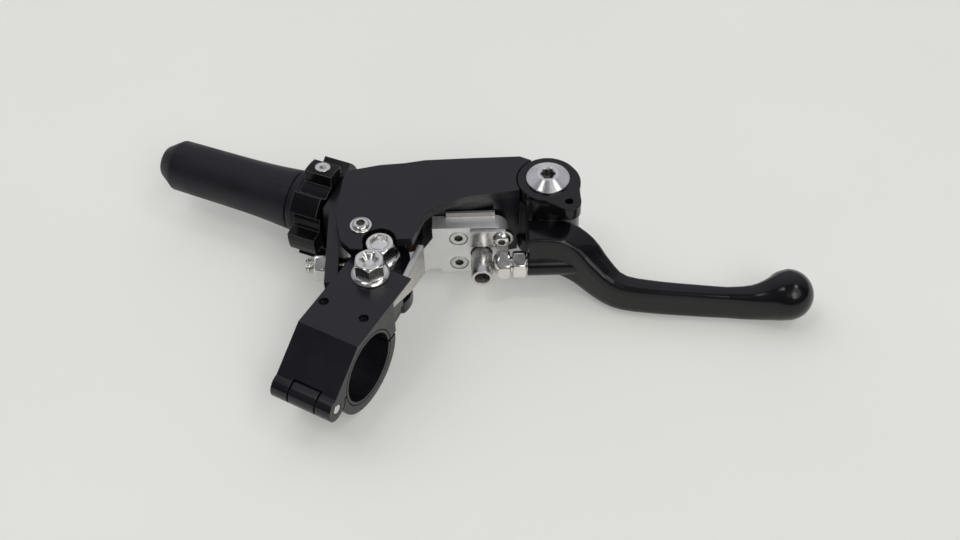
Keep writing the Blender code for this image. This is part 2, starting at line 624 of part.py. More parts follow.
def trunnion_at():
    """Foot of the cable's line nearest the pivot, in the arm's own frame."""
    start = ARM_TURN.transposed() @ Vector((WHEEL_CENTRE[0] - PIVOT[0], WHEEL_CENTRE[1] - PIVOT[1],
        0.0))
    way = Vector(cable_in_arm())
    foot = start - way * start.dot(way)
    return (foot.x, foot.y)


def sink_axis(height):
    """An axis square to the knuckle plate's face, running into the arm."""
    return frame_at("sink_axis", (SINK_SCREW_X, PLATE_FACE_Y, height), along((0.0, 1.0, 0.0)), SWING)


def sink_profile(grow, front):
    """Half outline of a countersunk screw, grown for its hole, with its face at front."""
    head = SINK_SCREW_RADIUS + grow
    shank = 1.5 + grow
    return [(0.0, 11.0 + grow), (shank, 11.0 + grow), (shank, 1.8), (head, 0.5), (head, front),
        (0.0, front)]


def make_arm_fittings():
    """Knuckle plate, its screws, the stop post with its bracket, bushes and trunnion."""
    face = frame_at("plate_face", (0.0, PLATE_FACE_Y - GAP, 0.0), along((0.0, -1.0, 0.0)), SWING)
    depth = FRONT_WALL_Y - PLATE_FACE_Y
    corner = (PLATE_RIGHT - KNUCKLE_ROUND, PLATE_TOP - KNUCKLE_ROUND)
    outline = arc(corner, KNUCKLE_ROUND, 0.0, 90.0, 8) + [(PLATE_LEFT, PLATE_TOP),
        (PLATE_LEFT, KNUCKLE_LOW + KNUCKLE_STEP)]
    outline += [(PLATE_LEFT + 2.0, KNUCKLE_LOW + KNUCKLE_STEP), (PLATE_LEFT + 3.0, KNUCKLE_LOW),
        (PLATE_RIGHT, KNUCKLE_LOW)]
    plate = slab("knuckle_plate", outline, -depth, -GAP, BARE, face)
    fuse(plate, block("plate_lip", (LIP_LEFT, PLATE_TOP - 1.0, -depth),
        (LIP_RIGHT, LIP_TOP, LIP_THICK - depth), BARE, face))
    foot = KNUCKLE_LOW + KNUCKLE_STEP
    wing = [(PLATE_LEFT + 0.5, WING_TOP), (WING_LEFT, foot + 2.0), (WING_LEFT, KNUCKLE_LOW - 0.2)]
    wing += [(WING_LEFT + 2.9, KNUCKLE_LOW - 0.4), (PLATE_LEFT - 1.4, foot), (PLATE_LEFT + 0.5, foot)]
    fuse(plate, slab("plate_wing", wing, -GAP - WING_THICK, -GAP, BARE, face))
    heights = (("high", SINK_SCREW_HIGH), ("low", SINK_SCREW_LOW))
    for name, height in heights:
        axis = sink_axis(height)
        cut(plate, turned("sink_" + name, sink_profile(GAP, -1.0), BARE, axis, 20))
        screw = turned("plate_screw_" + name, sink_profile(0.0, 0.1), STEEL, axis, 20)
        cut(screw, hexagon("sink_socket_" + name, 2.4, -1.0, 1.2, STEEL, axis))
    middle = (BRACKET_LOW + BRACKET_HIGH) / 2.0
    radius = (BRACKET_HIGH - BRACKET_LOW) / 2.0
    round_end = arc((BRACKET_RIGHT - radius, middle), radius, -90.0, 90.0, 12)
    bracket = slab(
        "post_bracket", round_end + [(BRACKET_LEFT, BRACKET_HIGH), (BRACKET_LEFT, BRACKET_LOW)],
        0.0, BRACKET_THICK, BARE, face)
    cut(bracket, drum("button_hole", 1.5 + GAP, -1.0, 6.0, BARE, face, (BUTTON_X, middle), 16))
    cut(plate, drum("button_thread", 1.5 + GAP, -5.0, 2.0, BARE, face, (BUTTON_X, middle), 16))
    cut(plate, drum("post_seat", POST_RADIUS + GAP, -3.0, 2.0, BARE, face, (POST_X, POST_HEIGHT), 24))
    dome = [(0.0, 1.9), (1.6, 1.6), (2.5, 0.9), (BUTTON_RADIUS, 0.0), (1.5, 0.0), (1.5, -6.0),
        (0.0, -6.0)]
    button = turned("bracket_screw", dome, STEEL, face, 20, (BUTTON_X, middle, BRACKET_THICK))
    cut(button, hexagon("button_socket", 2.0, BRACKET_THICK + 0.8, BRACKET_THICK + 3.0, STEEL, face,
        (BUTTON_X, middle)))
    post = drum("stop_post", POST_RADIUS, -2.7, POST_REACH - GAP, STEEL, face,
        (POST_X, POST_HEIGHT), 28)
    cut(post, drum("post_bore", POST_BORE, 2.0, POST_REACH + 1.0, STEEL, face,
        (POST_X, POST_HEIGHT), 24))
    cap = [(0.0, ARM_TOP + 1.5), (1.9, ARM_TOP + 1.4), (ARM_SCREW_RADIUS - 0.5, ARM_TOP + 0.9),
        (ARM_SCREW_RADIUS, ARM_TOP)]
    cap += [(1.5, ARM_TOP), (1.5, plate_low + 0.2), (0.0, plate_low + 0.2)]
    arm_screw = turned("arm_screw", cap, STEEL, SWING, 20, (*ARM_SCREW, 0.0))
    cut(arm_screw, hexagon("arm_screw_socket", 2.4, ARM_TOP + 0.5, ARM_TOP + 3.0, STEEL, SWING,
        ARM_SCREW))
    bush = drum("pivot_bush", bolt_hole + BUSH_WALL, hub_low, hub_high, BRASS, SWING, sides=28)
    cut(bush, drum("pivot_bush_bore", bolt_hole, hub_low - 1.0, hub_high + 1.0, BRASS, SWING, sides=28))
    trunnion = drum(
        "cable_trunnion", TRUNNION_RADIUS, trunnion_top - TRUNNION_HEIGHT, trunnion_top, BRASS,
        SWING, trunnion_at(), 24)
    hole = frame_at("trunnion_hole_axis", (*trunnion_at(), CABLE_HEIGHT), along(cable_in_arm()), SWING)
    cut(trunnion, drum("trunnion_hole", 1.2, -6.0, 6.0, BRASS, hole, sides=12))


def between(values, share):
    """A smooth (Catmull-Rom) value along a row of values, share from 0 to 1."""
    last = len(values) - 1
    place = min(share * last, last - 1e-6)
    index = int(place)
    part = place - index
    a, b, c, d = (values[max(0, min(last, index + step))] for step in (-1, 0, 1, 2))
    slope_b = (c - a) / 2.0
    slope_c = (d - b) / 2.0
    rise = b + slope_b * part
    bend = (3.0 * (c - b) - 2.0 * slope_b - slope_c) * part ** 2
    turn = (2.0 * (b - c) + slope_b + slope_c) * part ** 3
    return rise + bend + turn


def loft(name, stations, rings, finish, frame):
    """A forged bar: soft-cornered sections (x, y, half width, low, high, softness) along a path."""
    columns = list(zip(*stations))
    form = bmesh.new()
    loops = []
    for ring in range(rings + 1):
        share = ring / rings
        x, y, width, low, high, soft = (between(column, share) for column in columns)
        ahead = min(share + 0.01, 1.0)
        behind = ahead - 0.02
        way = Vector((between(columns[0], ahead) - between(columns[0], max(behind, 0.0)),
                      between(columns[1], ahead) - between(columns[1], max(behind, 0.0)))).normalized()
        loop = []
        for step in range(GRIP_SIDES):
            angle = 2.0 * math.pi * step / GRIP_SIDES
            out = math.copysign(abs(math.cos(angle)) ** soft, math.cos(angle)) * width
            rise = math.copysign(abs(math.sin(angle)) ** soft, math.sin(angle))
            height = (low + high) / 2.0 + rise * (high - low) / 2.0
            loop.append(form.verts.new(Vector((x + way.y * out, y - way.x * out, height)) * MM))
        loops.append(loop)
    for first, second in zip(loops, loops[1:]):
        for step in range(GRIP_SIDES):
            after = (step + 1) % GRIP_SIDES
            form.faces.new((first[step], first[after], second[after], second[step]))
    form.faces.new(loops[0][::-1])
    form.faces.new(loops[-1])
    bmesh.ops.recalc_face_normals(form, faces=form.faces)
    mesh = bpy.data.meshes.new(name)
    form.to_mesh(mesh)
    form.free()
    return smooth(put(name, mesh, finish, frame))


def make_blade():
    """Folding blade: two ears and a wall round the tongue, reach lug, finger grip and ball."""
    wall_radius = FOLD_RADIUS + 0.8
    tongue_room_low = TONGUE_LOW - 0.4
    blade = drum("blade", wall_radius, BLADE_ROOT_LOW, ARM_TOP - 1.2, BLACK, FOLD, sides=48)
    sector = [(0.0, 0.0)] + arc((0.0, 0.0), 30.0, 34.0, 226.0, 12)
    cut(blade, slab("neck_room", sector, tongue_room_low, ARM_TOP, BLACK, FOLD))
    fuse(blade, drum("upper_ear_blade", FOLD_RADIUS, EAR_HIGH_LOW, ARM_TOP, BLACK, FOLD, sides=48))
    lobe = [(61.9, 25.5)] + arc(LOBE, LOBE_RADIUS, 0.0, -110.0, 8) + [(47.5, 17.6), (52.5, 25.5)]
    fuse(blade, slab("ear_lobe", lobe, LOBE_LOW, ARM_TOP, BLACK, SWING))
    cut(blade, drum("lobe_hole", LOBE_HOLE, LOBE_LOW - 1.0, ARM_TOP + 1.0, BLACK, SWING, LOBE, 16))
    fuse(blade, loft("blade_grip", GRIP, GRIP_RINGS, BLACK, SWING))
    ball = bmesh.new()
    bmesh.ops.create_uvsphere(ball, u_segments=28, v_segments=16, radius=BALL_RADIUS * MM)
    mesh = bpy.data.meshes.new("ball_end")
    ball.to_mesh(mesh)
    ball.free()
    fuse(blade, smooth(put("ball_end", mesh, BLACK, SWING, BALL)))
    reach = frame_at("reach_hole_axis", (REACH_FACE, REACH_Y, POST_HEIGHT), along((1.0, 0.0, 0.0)),
        SWING)
    fuse(blade, drum("reach_lug", REACH_LUG, 0.0, REACH_LUG_LENGTH, BLACK, reach, sides=28))
    cut(blade, drum("tongue_room", TONGUE_RADIUS + 0.6, tongue_room_low, EAR_HIGH_LOW, BLACK, FOLD,
        sides=48))
    cut(blade, slab("neck_sweep", sector, tongue_room_low, EAR_HIGH_LOW, BLACK, FOLD))
    cut(blade, drum(
        "fold_bolt_hole", FOLD_BOLT_RADIUS + GAP, BLADE_ROOT_LOW - 2.0, ARM_TOP + 2.0, BLACK, FOLD,
        sides=24))
    cut(blade, drum("reach_hole", REACH_RADIUS + GAP, -4.0, REACH_DEPTH + GAP, BLACK, reach, sides=20))
    return blade


def make_blade_fittings():
    """Cone-headed fold bolt with its nut, bush and spring, and the reach screw."""
    seat = ARM_TOP
    profile = [(0.0, seat + CONE_HEIGHT), (CONE_TOP_RADIUS, seat + CONE_HEIGHT),
        (CONE_RADIUS, seat + 0.8), (CONE_RADIUS, seat)]
    tip = BLADE_ROOT_LOW - NUT_HEIGHT
    profile += [(FOLD_BOLT_RADIUS, seat), (FOLD_BOLT_RADIUS, tip - 0.5), (0.0, tip - 0.5)]
    bolt = turned("fold_bolt", profile, STEEL, FOLD, 36)
    cut(bolt, hexagon("fold_socket", CONE_SOCKET * 2.0, seat - 0.5, seat + 5.0, STEEL, FOLD))
    nut = hexagon("fold_nut", 10.0, tip, BLADE_ROOT_LOW, STEEL, FOLD)
    cut(nut, drum("fold_nut_bore", FOLD_BOLT_RADIUS + GAP, tip - 1.0, BLADE_ROOT_LOW + 1.0, STEEL,
        FOLD, sides=24))
    outer = FOLD_BOLT_RADIUS + GAP + 1.3
    bush = drum("fold_bush", outer, TONGUE_LOW, TONGUE_HIGH, BRASS, FOLD, sides=24)
    cut(bush, drum("fold_bush_bore", FOLD_BOLT_RADIUS + GAP, TONGUE_LOW - 1.0, TONGUE_HIGH + 1.0,
        BRASS, FOLD, sides=24))
    make_spring(outer)
    reach = frame_at("reach_axis", (REACH_FACE, REACH_Y, POST_HEIGHT), along((-1.0, 0.0, 0.0)), SWING)
    nut_top = GAP + REACH_NUT
    lock = hexagon("reach_nut", REACH_HEX, GAP, nut_top, STEEL, reach, turn=10.0)
    cut(lock, drum("reach_nut_bore", REACH_RADIUS + GAP, -1.0, nut_top + 1.0, STEEL, reach, sides=20))
    head_low = nut_top + 0.7
    head_high = REACH_FACE - POST_X - POST_RADIUS - GAP
    screw = drum("reach_screw", REACH_RADIUS, -REACH_DEPTH, head_low + 1.0, STEEL, reach, sides=20)
    corner = REACH_HEX / 2.0 / math.cos(math.radians(30.0))
    fuse(screw, hexagon("reach_hex", REACH_HEX, head_low, head_high - 1.8, STEEL, reach))
    fuse(screw, drum("reach_dome", corner, head_high - 1.81, head_high, STEEL, reach, sides=6,
        top_radius=corner * 0.6))


def make_spring(inside):
    """Torsion spring coiled round the fold bush, as one unbroken wire."""
    mean = inside + GAP + SPRING_WIRE
    pitch = 2.0 * SPRING_WIRE + 0.5
    per_turn = 10
    curve = bpy.data.curves.new("fold_spring", "CURVE")
    curve.dimensions = "3D"
    curve.bevel_depth = SPRING_WIRE * MM
    curve.bevel_resolution = 1
    curve.use_fill_caps = True
    spline = curve.splines.new("POLY")
    spline.points.add(SPRING_TURNS * per_turn - 1)
    bottom = SPRING_SEAT + GAP + SPRING_WIRE
    rise = (SPRING_TURNS - 0.1) * pitch
    for index, point in enumerate(spline.points):
        share = index / (len(spline.points) - 1)
        angle = 2.0 * math.pi * (SPRING_TURNS - 0.1) * share
        height = bottom + rise * share
        point.co = (mean * math.cos(angle) * MM, mean * math.sin(angle) * MM, height * MM, 1.0)
    print("fold spring gap between turns, mm: %.2f" % (pitch - 2.0 * SPRING_WIRE))
    spring = bpy.data.objects.new("fold_spring", curve)
    PARTS.objects.link(spring)
    spring.parent = FOLD
    curve.materials.append(STEEL)


make_perch()
make_clamp_half()
make_perch_fittings()
make_adjuster()
make_arm()
make_arm_fittings()
make_blade()
make_blade_fittings()
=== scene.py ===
"""Looks of a folding clutch lever on its handlebar perch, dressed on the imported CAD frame."""

import math

import bmesh
import bpy
import numpy as np
from mathutils import Matrix, Vector


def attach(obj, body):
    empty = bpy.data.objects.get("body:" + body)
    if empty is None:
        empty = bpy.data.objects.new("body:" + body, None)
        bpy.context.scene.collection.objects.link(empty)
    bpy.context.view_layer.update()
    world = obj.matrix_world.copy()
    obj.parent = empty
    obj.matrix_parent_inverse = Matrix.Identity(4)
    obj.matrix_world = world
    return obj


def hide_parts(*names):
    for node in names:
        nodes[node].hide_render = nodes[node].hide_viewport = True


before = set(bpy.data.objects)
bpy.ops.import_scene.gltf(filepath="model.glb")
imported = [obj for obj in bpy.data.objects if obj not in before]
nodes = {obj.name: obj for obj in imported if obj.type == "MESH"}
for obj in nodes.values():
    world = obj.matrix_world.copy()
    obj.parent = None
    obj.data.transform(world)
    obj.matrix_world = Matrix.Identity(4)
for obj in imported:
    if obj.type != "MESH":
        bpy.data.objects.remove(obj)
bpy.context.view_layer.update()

# Perch and clamp half: the two machined aluminium pieces that close round the handlebar, with
# the ledge, the pivot ears and the adjuster's wall. Bead blasted, dyed black and sealed, so
# that the flats keep a low gloss; the corners are painted a little paler, partly as wear and
# partly as a painted highlight along the edges.
MIX_FACTOR = 0
GREY_A, GREY_B, GREY_RESULT = 2, 3, 0
COLOUR_A, COLOUR_B, COLOUR_RESULT = 6, 7, 2
EDGE_FULL_AT = 0.80
EDGE_NONE_AT = 0.97


def link(tree, source, output, target, socket):
    """Joins one node's output to another node's input."""
    tree.links.new(source.outputs[output], target.inputs[socket])


def blank(name, colour, roughness, metallic):
    """A Principled finish with its tree, shader and Object coordinates ready to build on."""
    finish = bpy.data.materials.new(name)
    finish.use_nodes = True
    tree = finish.node_tree
    shader = tree.nodes["Principled BSDF"]
    shader.inputs["Base Color"].default_value = (*colour, 1.0)
    shader.inputs["Roughness"].default_value = roughness
    shader.inputs["Metallic"].default_value = metallic
    place = tree.nodes.new("ShaderNodeTexCoord")
    return finish, tree, shader, place


def speckle(tree, place, scale, detail=3.0, stretch=None):
    """Noise in Object coordinates, drawn out along an axis where stretch is given."""
    noise = tree.nodes.new("ShaderNodeTexNoise")
    noise.inputs["Scale"].default_value = scale
    noise.inputs["Detail"].default_value = detail
    if stretch:
        mapping = tree.nodes.new("ShaderNodeMapping")
        mapping.inputs["Scale"].default_value = stretch
        link(tree, place, "Object", mapping, "Vector")
        link(tree, mapping, "Vector", noise, "Vector")
    else:
        link(tree, place, "Object", noise, "Vector")
    return noise


def spread(tree, source, output, low, high, start=0.3, end=0.7):
    """Carries a grey value from start..end over to low..high."""
    span = tree.nodes.new("ShaderNodeMapRange")
    span.inputs["From Min"].default_value = start
    span.inputs["From Max"].default_value = end
    span.inputs["To Min"].default_value = low
    span.inputs["To Max"].default_value = high
    link(tree, source, output, span, "Value")
    return span


def blend(tree, amount, output, ramp, shade):
    """Colour that goes from the ramp's to one shade as the amount rises to 1."""
    mix = tree.nodes.new("ShaderNodeMix")
    mix.data_type = "RGBA"
    link(tree, amount, output, mix, MIX_FACTOR)
    link(tree, ramp, "Color", mix, COLOUR_A)
    mix.inputs[COLOUR_B].default_value = (*shade, 1.0)
    return mix


def rounded_edges(tree, radius):
    """Normals that turn over each edge within the given radius in metres."""
    soft = tree.nodes.new("ShaderNodeBevel")
    soft.samples = 6
    soft.inputs["Radius"].default_value = radius
    return soft


def grain_bump(tree, shader, noise, strength, depth, soft=None):
    """Fine relief from the noise, laid over rounded edges where these are given."""
    bump = tree.nodes.new("ShaderNodeBump")
    bump.inputs["Strength"].default_value = strength
    bump.inputs["Distance"].default_value = depth
    link(tree, noise, "Fac", bump, "Height")
    if soft:
        link(tree, soft, "Normal", bump, "Normal")
    link(tree, bump, "Normal", shader, "Normal")


def tint(tree, noise, dark, pale):
    """Colour that drifts between two shades with the noise."""
    ramp = tree.nodes.new("ShaderNodeValToRGB")
    ramp.color_ramp.elements[0].position = 0.32
    ramp.color_ramp.elements[1].position = 0.68
    ramp.color_ramp.elements[0].color = (*dark, 1.0)
    ramp.color_ramp.elements[1].color = (*pale, 1.0)
    link(tree, noise, "Fac", ramp, "Fac")
    return ramp


def edge_wear_and_highlight(tree, soft, ramp, worn_and_lit):
    """Colour turned to an edge shade, part wear and part painted highlight, where the rounded
    normal leaves the face's own normal.
    """
    shape = tree.nodes.new("ShaderNodeNewGeometry")
    match = tree.nodes.new("ShaderNodeVectorMath")
    match.operation = "DOT_PRODUCT"
    link(tree, soft, "Normal", match, 0)
    link(tree, shape, "Normal", match, 1)
    amount = spread(tree, match, "Value", 1.0, 0.0, EDGE_FULL_AT, EDGE_NONE_AT)
    return blend(tree, amount, "Result", ramp, worn_and_lit)


def anodised_black(name, dark, pale, roughness, edge, shine, worn_and_lit):
    """Aluminium dyed black: fine blasted grain, cloudy gloss, rounded edges painted paler as wear
    and as a painted highlight.
    """
    finish, tree, shader, place = blank(name, dark, roughness, 0.0)
    shader.inputs["Specular IOR Level"].default_value = shine
    cloud = speckle(tree, place, scale=90.0, detail=4.0)
    grain = speckle(tree, place, scale=2600.0, detail=2.0)
    soft = rounded_edges(tree, edge)
    colour = edge_wear_and_highlight(tree, soft, tint(tree, cloud, dark, pale), worn_and_lit)
    link(tree, colour, COLOUR_RESULT, shader, "Base Color")
    gloss = spread(tree, cloud, "Fac", roughness - 0.04, roughness + 0.05)
    link(tree, gloss, "Result", shader, "Roughness")
    grain_bump(tree, shader, grain, strength=0.18, depth=0.00003, soft=soft)
    return finish


def dress(finish, *names):
    """Gives CAD nodes a finish in place of their plain one."""
    for name in names:
        mesh = nodes[name].data
        mesh.materials.clear()
        mesh.materials.append(finish)


perch_black = anodised_black(
    "perch_black", dark=(0.0056, 0.0057, 0.0092), pale=(0.0090, 0.0091, 0.0136), roughness=0.25,
    edge=0.0003, shine=0.45, worn_and_lit=(0.0095, 0.0095, 0.0125))
dress(perch_black, "perch_body", "clamp_half")

# Bar sleeve: a split ring of moulded grey-black nylon between the clamp and the handlebar, so
# that the clamp doesn't bite into the bar.


def moulded_nylon(name, dark, pale, roughness):
    """Moulded plastic: soft mottling and a fine orange-peel relief."""
    finish, tree, shader, place = blank(name, dark, roughness, 0.0)
    ramp = tint(tree, speckle(tree, place, scale=300.0), dark, pale)
    link(tree, ramp, "Color", shader, "Base Color")
    peel = speckle(tree, place, scale=1500.0)
    grain_bump(tree, shader, peel, strength=0.2, depth=0.00004, soft=rounded_edges(tree, 0.0002))
    return finish


sleeve_nylon = moulded_nylon(
    "sleeve_nylon", dark=(0.0065, 0.0063, 0.0090), pale=(0.0100, 0.0097, 0.0130), roughness=0.34)
dress(sleeve_nylon, "bar_sleeve")

# Clamp bolt and pivot bolt: M6 flanged hexagon bolts with dished heads, cold headed from steel
# and bright zinc plated. The clamp bolt closes the clamp halves; the other is the arm's pivot,
# with a nut under the lower ear. The hinge pin of the clamp is the same steel.
MM = 0.001
UPRIGHT = ((1.0, 0.0, 0.0), (0.0, 1.0, 0.0), (0.0, 0.0, 1.0))
ROUND = 0
PRISM = 1
SOCKET = -1
LOBED = -2
LOBES = 6.0
LOBE_DEPTH = 0.13
# Colour and roughness of the shade painted into sockets.
SOCKET_SHADE = (0.16, 0.152, 0.14)
SOCKET_SHADE_ROUGHNESS = 0.5
FLANGE_RADIUS = 5.9
WASHER_RADIUS = 5.7
SHANK_RADIUS = 3.0
HEAD_FLAT = 4.2
HEAD_HEIGHT = 6.5
CLAMP_BOLT_AT = (0.0, 21.7, 0.0)
PIVOT_AT = (-3.0, 32.0, 0.0)


def turned(rows, place, basis, turn=0.0, sides=96, thread=None):
    """Spun profile as a grid of points: rows of (radius, height, flat, kind) against the angle.

    The distance from the axis is the radius where kind is ROUND, the smaller of the radius and
    flat / cos(angle from the nearest flat) where it is PRISM, a hexagon trimmed by a cone, and
    the larger of the two where it is SOCKET. Where it is LOBED, a six-lobed socket, it is
    flat * (1 + 0.13 cos(6 angle)). A thread of (pitch, depth, low, high) takes away depth times
    a triangle wave of height / pitch - angle / 360 between two heights.
    """
    radius, height, flat, kind = (column[:, None] for column in np.array(rows, dtype=float).T)
    angle = np.arange(sides) * 2.0 * np.pi / sides
    off_flat = (angle + np.pi / 6.0) % (np.pi / 3.0) - np.pi / 6.0
    hexagon = flat / np.cos(off_flat)
    reach = np.where(kind == PRISM, np.minimum(radius, hexagon), radius + 0.0 * hexagon)
    reach = np.where(kind == SOCKET, np.maximum(radius, hexagon), reach)
    reach = np.where(kind == LOBED, flat * (1.0 + LOBE_DEPTH * np.cos(LOBES * angle)), reach)
    if thread:
        pitch, depth, low, high = thread
        wave = np.abs(2.0 * ((height / pitch - angle / (2.0 * np.pi)) % 1.0) - 1.0)
        reach = reach - np.where((height > low) & (height < high), depth * wave, 0.0)
    way = angle + math.radians(turn)
    local = np.stack([reach * np.cos(way), reach * np.sin(way), height + 0.0 * reach], axis=-1)
    return (np.array(place) + local @ np.array(basis)) * MM


def skin(name, grid, finish, sharp=35.0, rows=None):
    """A closed skin over a grid of points whose rows run round, with its poles drawn together.

    Where the profile's rows are given, the attribute recess is 1 from the socket's mouth inwards.
    """
    index = np.arange(grid.shape[0] * grid.shape[1]).reshape(grid.shape[:2])
    after = np.roll(index, -1, axis=1)
    quads = np.stack([index[:-1], after[:-1], after[1:], index[1:]], axis=-1).reshape(-1, 4)
    mesh = bpy.data.meshes.new(name)
    mesh.from_pydata(grid.reshape(-1, 3).tolist(), [], quads.tolist())
    if rows:
        inside = np.maximum.accumulate(np.array(rows)[:, 3] < ROUND).astype(np.float32)
        recess = mesh.attributes.new("recess", "FLOAT", "POINT")
        recess.data.foreach_set("value", np.repeat(inside, grid.shape[1]))
    work = bmesh.new()
    work.from_mesh(mesh)
    bmesh.ops.remove_doubles(work, verts=work.verts, dist=1e-7)
    bmesh.ops.recalc_face_normals(work, faces=work.faces)
    work.to_mesh(mesh)
    work.free()
    mesh.shade_smooth()
    mesh.set_sharp_from_angle(angle=math.radians(sharp))
    mesh.materials.append(finish)
    piece = bpy.data.objects.new(name, mesh)
    bpy.context.scene.collection.objects.link(piece)
    return piece


def seat(piece, body, slot, *stands_for):
    """Fixes a new piece to its body and hides the solids it replaces. The slot is not used."""
    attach(piece, body)
    if stands_for:
        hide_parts(*stands_for)


def paint_recess_shade(tree, shader, ramp, gloss):
    """Paints shade into sockets: colour turns dark and gloss rough where the attribute recess says
    a socket is.
    """
    inside = tree.nodes.new("ShaderNodeAttribute")
    inside.attribute_name = "recess"
    colour = blend(tree, inside, "Fac", ramp, SOCKET_SHADE)
    link(tree, colour, COLOUR_RESULT, shader, "Base Color")
    rough = tree.nodes.new("ShaderNodeMix")
    link(tree, inside, "Fac", rough, MIX_FACTOR)
    link(tree, gloss, "Result", rough, GREY_A)
    rough.inputs[GREY_B].default_value = SOCKET_SHADE_ROUGHNESS
    link(tree, rough, GREY_RESULT, shader, "Roughness")


def zinc_plate(name, pale, dark, roughness, edge=0.00025):
    """Bright plate on metal: faint clouds in colour and gloss over rounded edges, and painted
    shade in sockets.
    """
    finish, tree, shader, place = blank(name, pale, roughness, 1.0)
    cloud = speckle(tree, place, scale=420.0, detail=4.0)
    gloss = spread(tree, cloud, "Fac", roughness - 0.04, roughness + 0.06)
    paint_recess_shade(tree, shader, tint(tree, cloud, dark, pale), gloss)
    grain_bump(tree, shader, cloud, strength=0.05, depth=0.00002, soft=rounded_edges(tree, edge))
    return finish


def round_rows(outline):
    """Rows of a round profile from pairs of (radius, height)."""
    return [(radius, height, 0.0, ROUND) for radius, height in outline]


def quarter_turn(inner, outer, low, high, flat, steps=9):
    """Rows of a hexagon head's crown: an ellipse's quarter from (outer, low) to (inner, high)."""
    sweep = np.linspace(0.0, np.pi / 2.0, steps)
    radius = inner + (outer - inner) * np.cos(sweep)
    height = low + (high - low) * np.sin(sweep)
    return [(r, h, flat, PRISM) for r, h in zip(radius, height)]


def flange_bolt(base, tip, washer, rim, floor, deep, mouth):
    """Rows of a flanged bolt from its tip to the middle of its dished head.

    Straight shank, washer of the given thickness, flange with a turned edge, hexagon with a
    rounded crown, and a dish whose mouth, SOCKET or LOBED, narrows from rim to floor, half
    across flats, over its depth.
    """
    top = base + HEAD_HEIGHT
    corner = HEAD_FLAT / math.cos(math.pi / 6.0)
    rows = round_rows([
        (0.0, tip), (SHANK_RADIUS - 0.6, tip), (SHANK_RADIUS, tip + 0.6),
        (SHANK_RADIUS, base - washer), (WASHER_RADIUS - 0.1, base - washer),
        (WASHER_RADIUS, base - 0.8 * washer), (WASHER_RADIUS, base),
        (FLANGE_RADIUS - 0.2, base), (FLANGE_RADIUS, base + 0.2), (FLANGE_RADIUS, base + 0.5),
        (FLANGE_RADIUS - 0.12, base + 0.7), (FLANGE_RADIUS - 0.4, base + 0.9),
        (corner + 0.2, base + 1.3)])
    rows += [(9.0, base + 1.4, HEAD_FLAT, PRISM)]
    rows += quarter_turn(3.6, corner + 0.05, top - 1.5, top, HEAD_FLAT)
    rows += round_rows([(3.25, top), (3.12, top - 0.06)])
    rows += [(0.0, top - 0.2, rim, mouth), (0.0, top - deep, floor, mouth)]
    return rows + round_rows([(0.0, top - deep - 0.1)])


def hexagon_nut(flat, bore, low, high):
    """Rows of a nut: chamfered hexagon outside, countersunk bore inside, closed on itself."""
    corner = flat / math.cos(math.pi / 6.0) + 0.02
    face, rise = 0.94 * flat, 0.16 * flat
    sink, wide = 0.4, bore + 0.45
    share = np.linspace(0.0, 1.0, 6)
    chamfer = face + (corner - face) * share
    rows = round_rows([(wide, low)])
    rows += [(r, low + rise * s, flat, PRISM) for r, s in zip(chamfer, share)]
    rows += [(r, high - rise * s, flat, PRISM) for r, s in zip(chamfer[::-1], share[::-1])]
    return rows + round_rows([(wide, high), (bore, high - sink), (bore, low + sink), (wide, low)])


bright_zinc = zinc_plate(
    "bright_zinc", pale=(0.84, 0.83, 0.80), dark=(0.76, 0.75, 0.72), roughness=0.15)
clamp_bolt_rows = flange_bolt(
    base=14.0, tip=-4.5, washer=0.0, rim=2.6, floor=1.3, deep=1.7, mouth=LOBED)
clamp_bolt = skin(
    "clamp_bolt_turned", turned(clamp_bolt_rows, CLAMP_BOLT_AT, UPRIGHT, 30.0), bright_zinc)
seat(clamp_bolt, "perch", "plated_steel", "clamp_bolt")
pivot_bolt_rows = flange_bolt(
    base=10.2, tip=-14.0, washer=1.4, rim=2.68, floor=2.35, deep=1.3, mouth=SOCKET)
pivot_bolt = skin(
    "pivot_bolt_turned", turned(pivot_bolt_rows, PIVOT_AT, UPRIGHT, -14.0), bright_zinc)
seat(pivot_bolt, "perch", "plated_steel", "pivot_bolt")
pivot_nut_rows = hexagon_nut(flat=5.2, bore=3.3, low=-13.4, high=-9.4)
pivot_nut = skin("pivot_nut_turned", turned(pivot_nut_rows, PIVOT_AT, UPRIGHT), bright_zinc)
seat(pivot_nut, "perch", "plated_steel", "pivot_nut")
dress(bright_zinc, "hinge_pin")

# Guard plate: a tapered strip of aluminium along the perch's right-hand side, cut from sheet
# and left bare, with fine milling lines along its length.
LIP_BLEND = 0.0002


def bare_aluminium(name, pale, dark, roughness, stretch, metallic=1.0, lip=None):
    """Bare plate: milling lines drawn out along one axis, in gloss and in relief.

    Where a lip of (height in metres, shade) is given, the colour turns to the shade above it.
    """
    finish, tree, shader, place = blank(name, pale, roughness, metallic)
    lines = speckle(tree, place, scale=900.0, detail=4.0, stretch=stretch)
    ramp = tint(tree, speckle(tree, place, scale=120.0), dark, pale)
    if lip:
        height, shade = lip
        split = tree.nodes.new("ShaderNodeSeparateXYZ")
        link(tree, place, "Object", split, "Vector")
        share = spread(tree, split, "Z", 0.0, 1.0, height, height + LIP_BLEND)
        colour = blend(tree, share, "Result", ramp, shade)
        link(tree, colour, COLOUR_RESULT, shader, "Base Color")
    else:
        link(tree, ramp, "Color", shader, "Base Color")
    gloss = spread(tree, lines, "Fac", roughness - 0.06, roughness + 0.08)
    link(tree, gloss, "Result", shader, "Roughness")
    grain_bump(tree, shader, lines, strength=0.12, depth=0.00003, soft=rounded_edges(tree, 0.0003))
    return finish


guard_bare = bare_aluminium(
    "guard_bare", pale=(0.63, 0.62, 0.60), dark=(0.55, 0.54, 0.52), roughness=0.26,
    stretch=(1.0, 0.08, 1.0))
dress(guard_bare, "guard_plate")

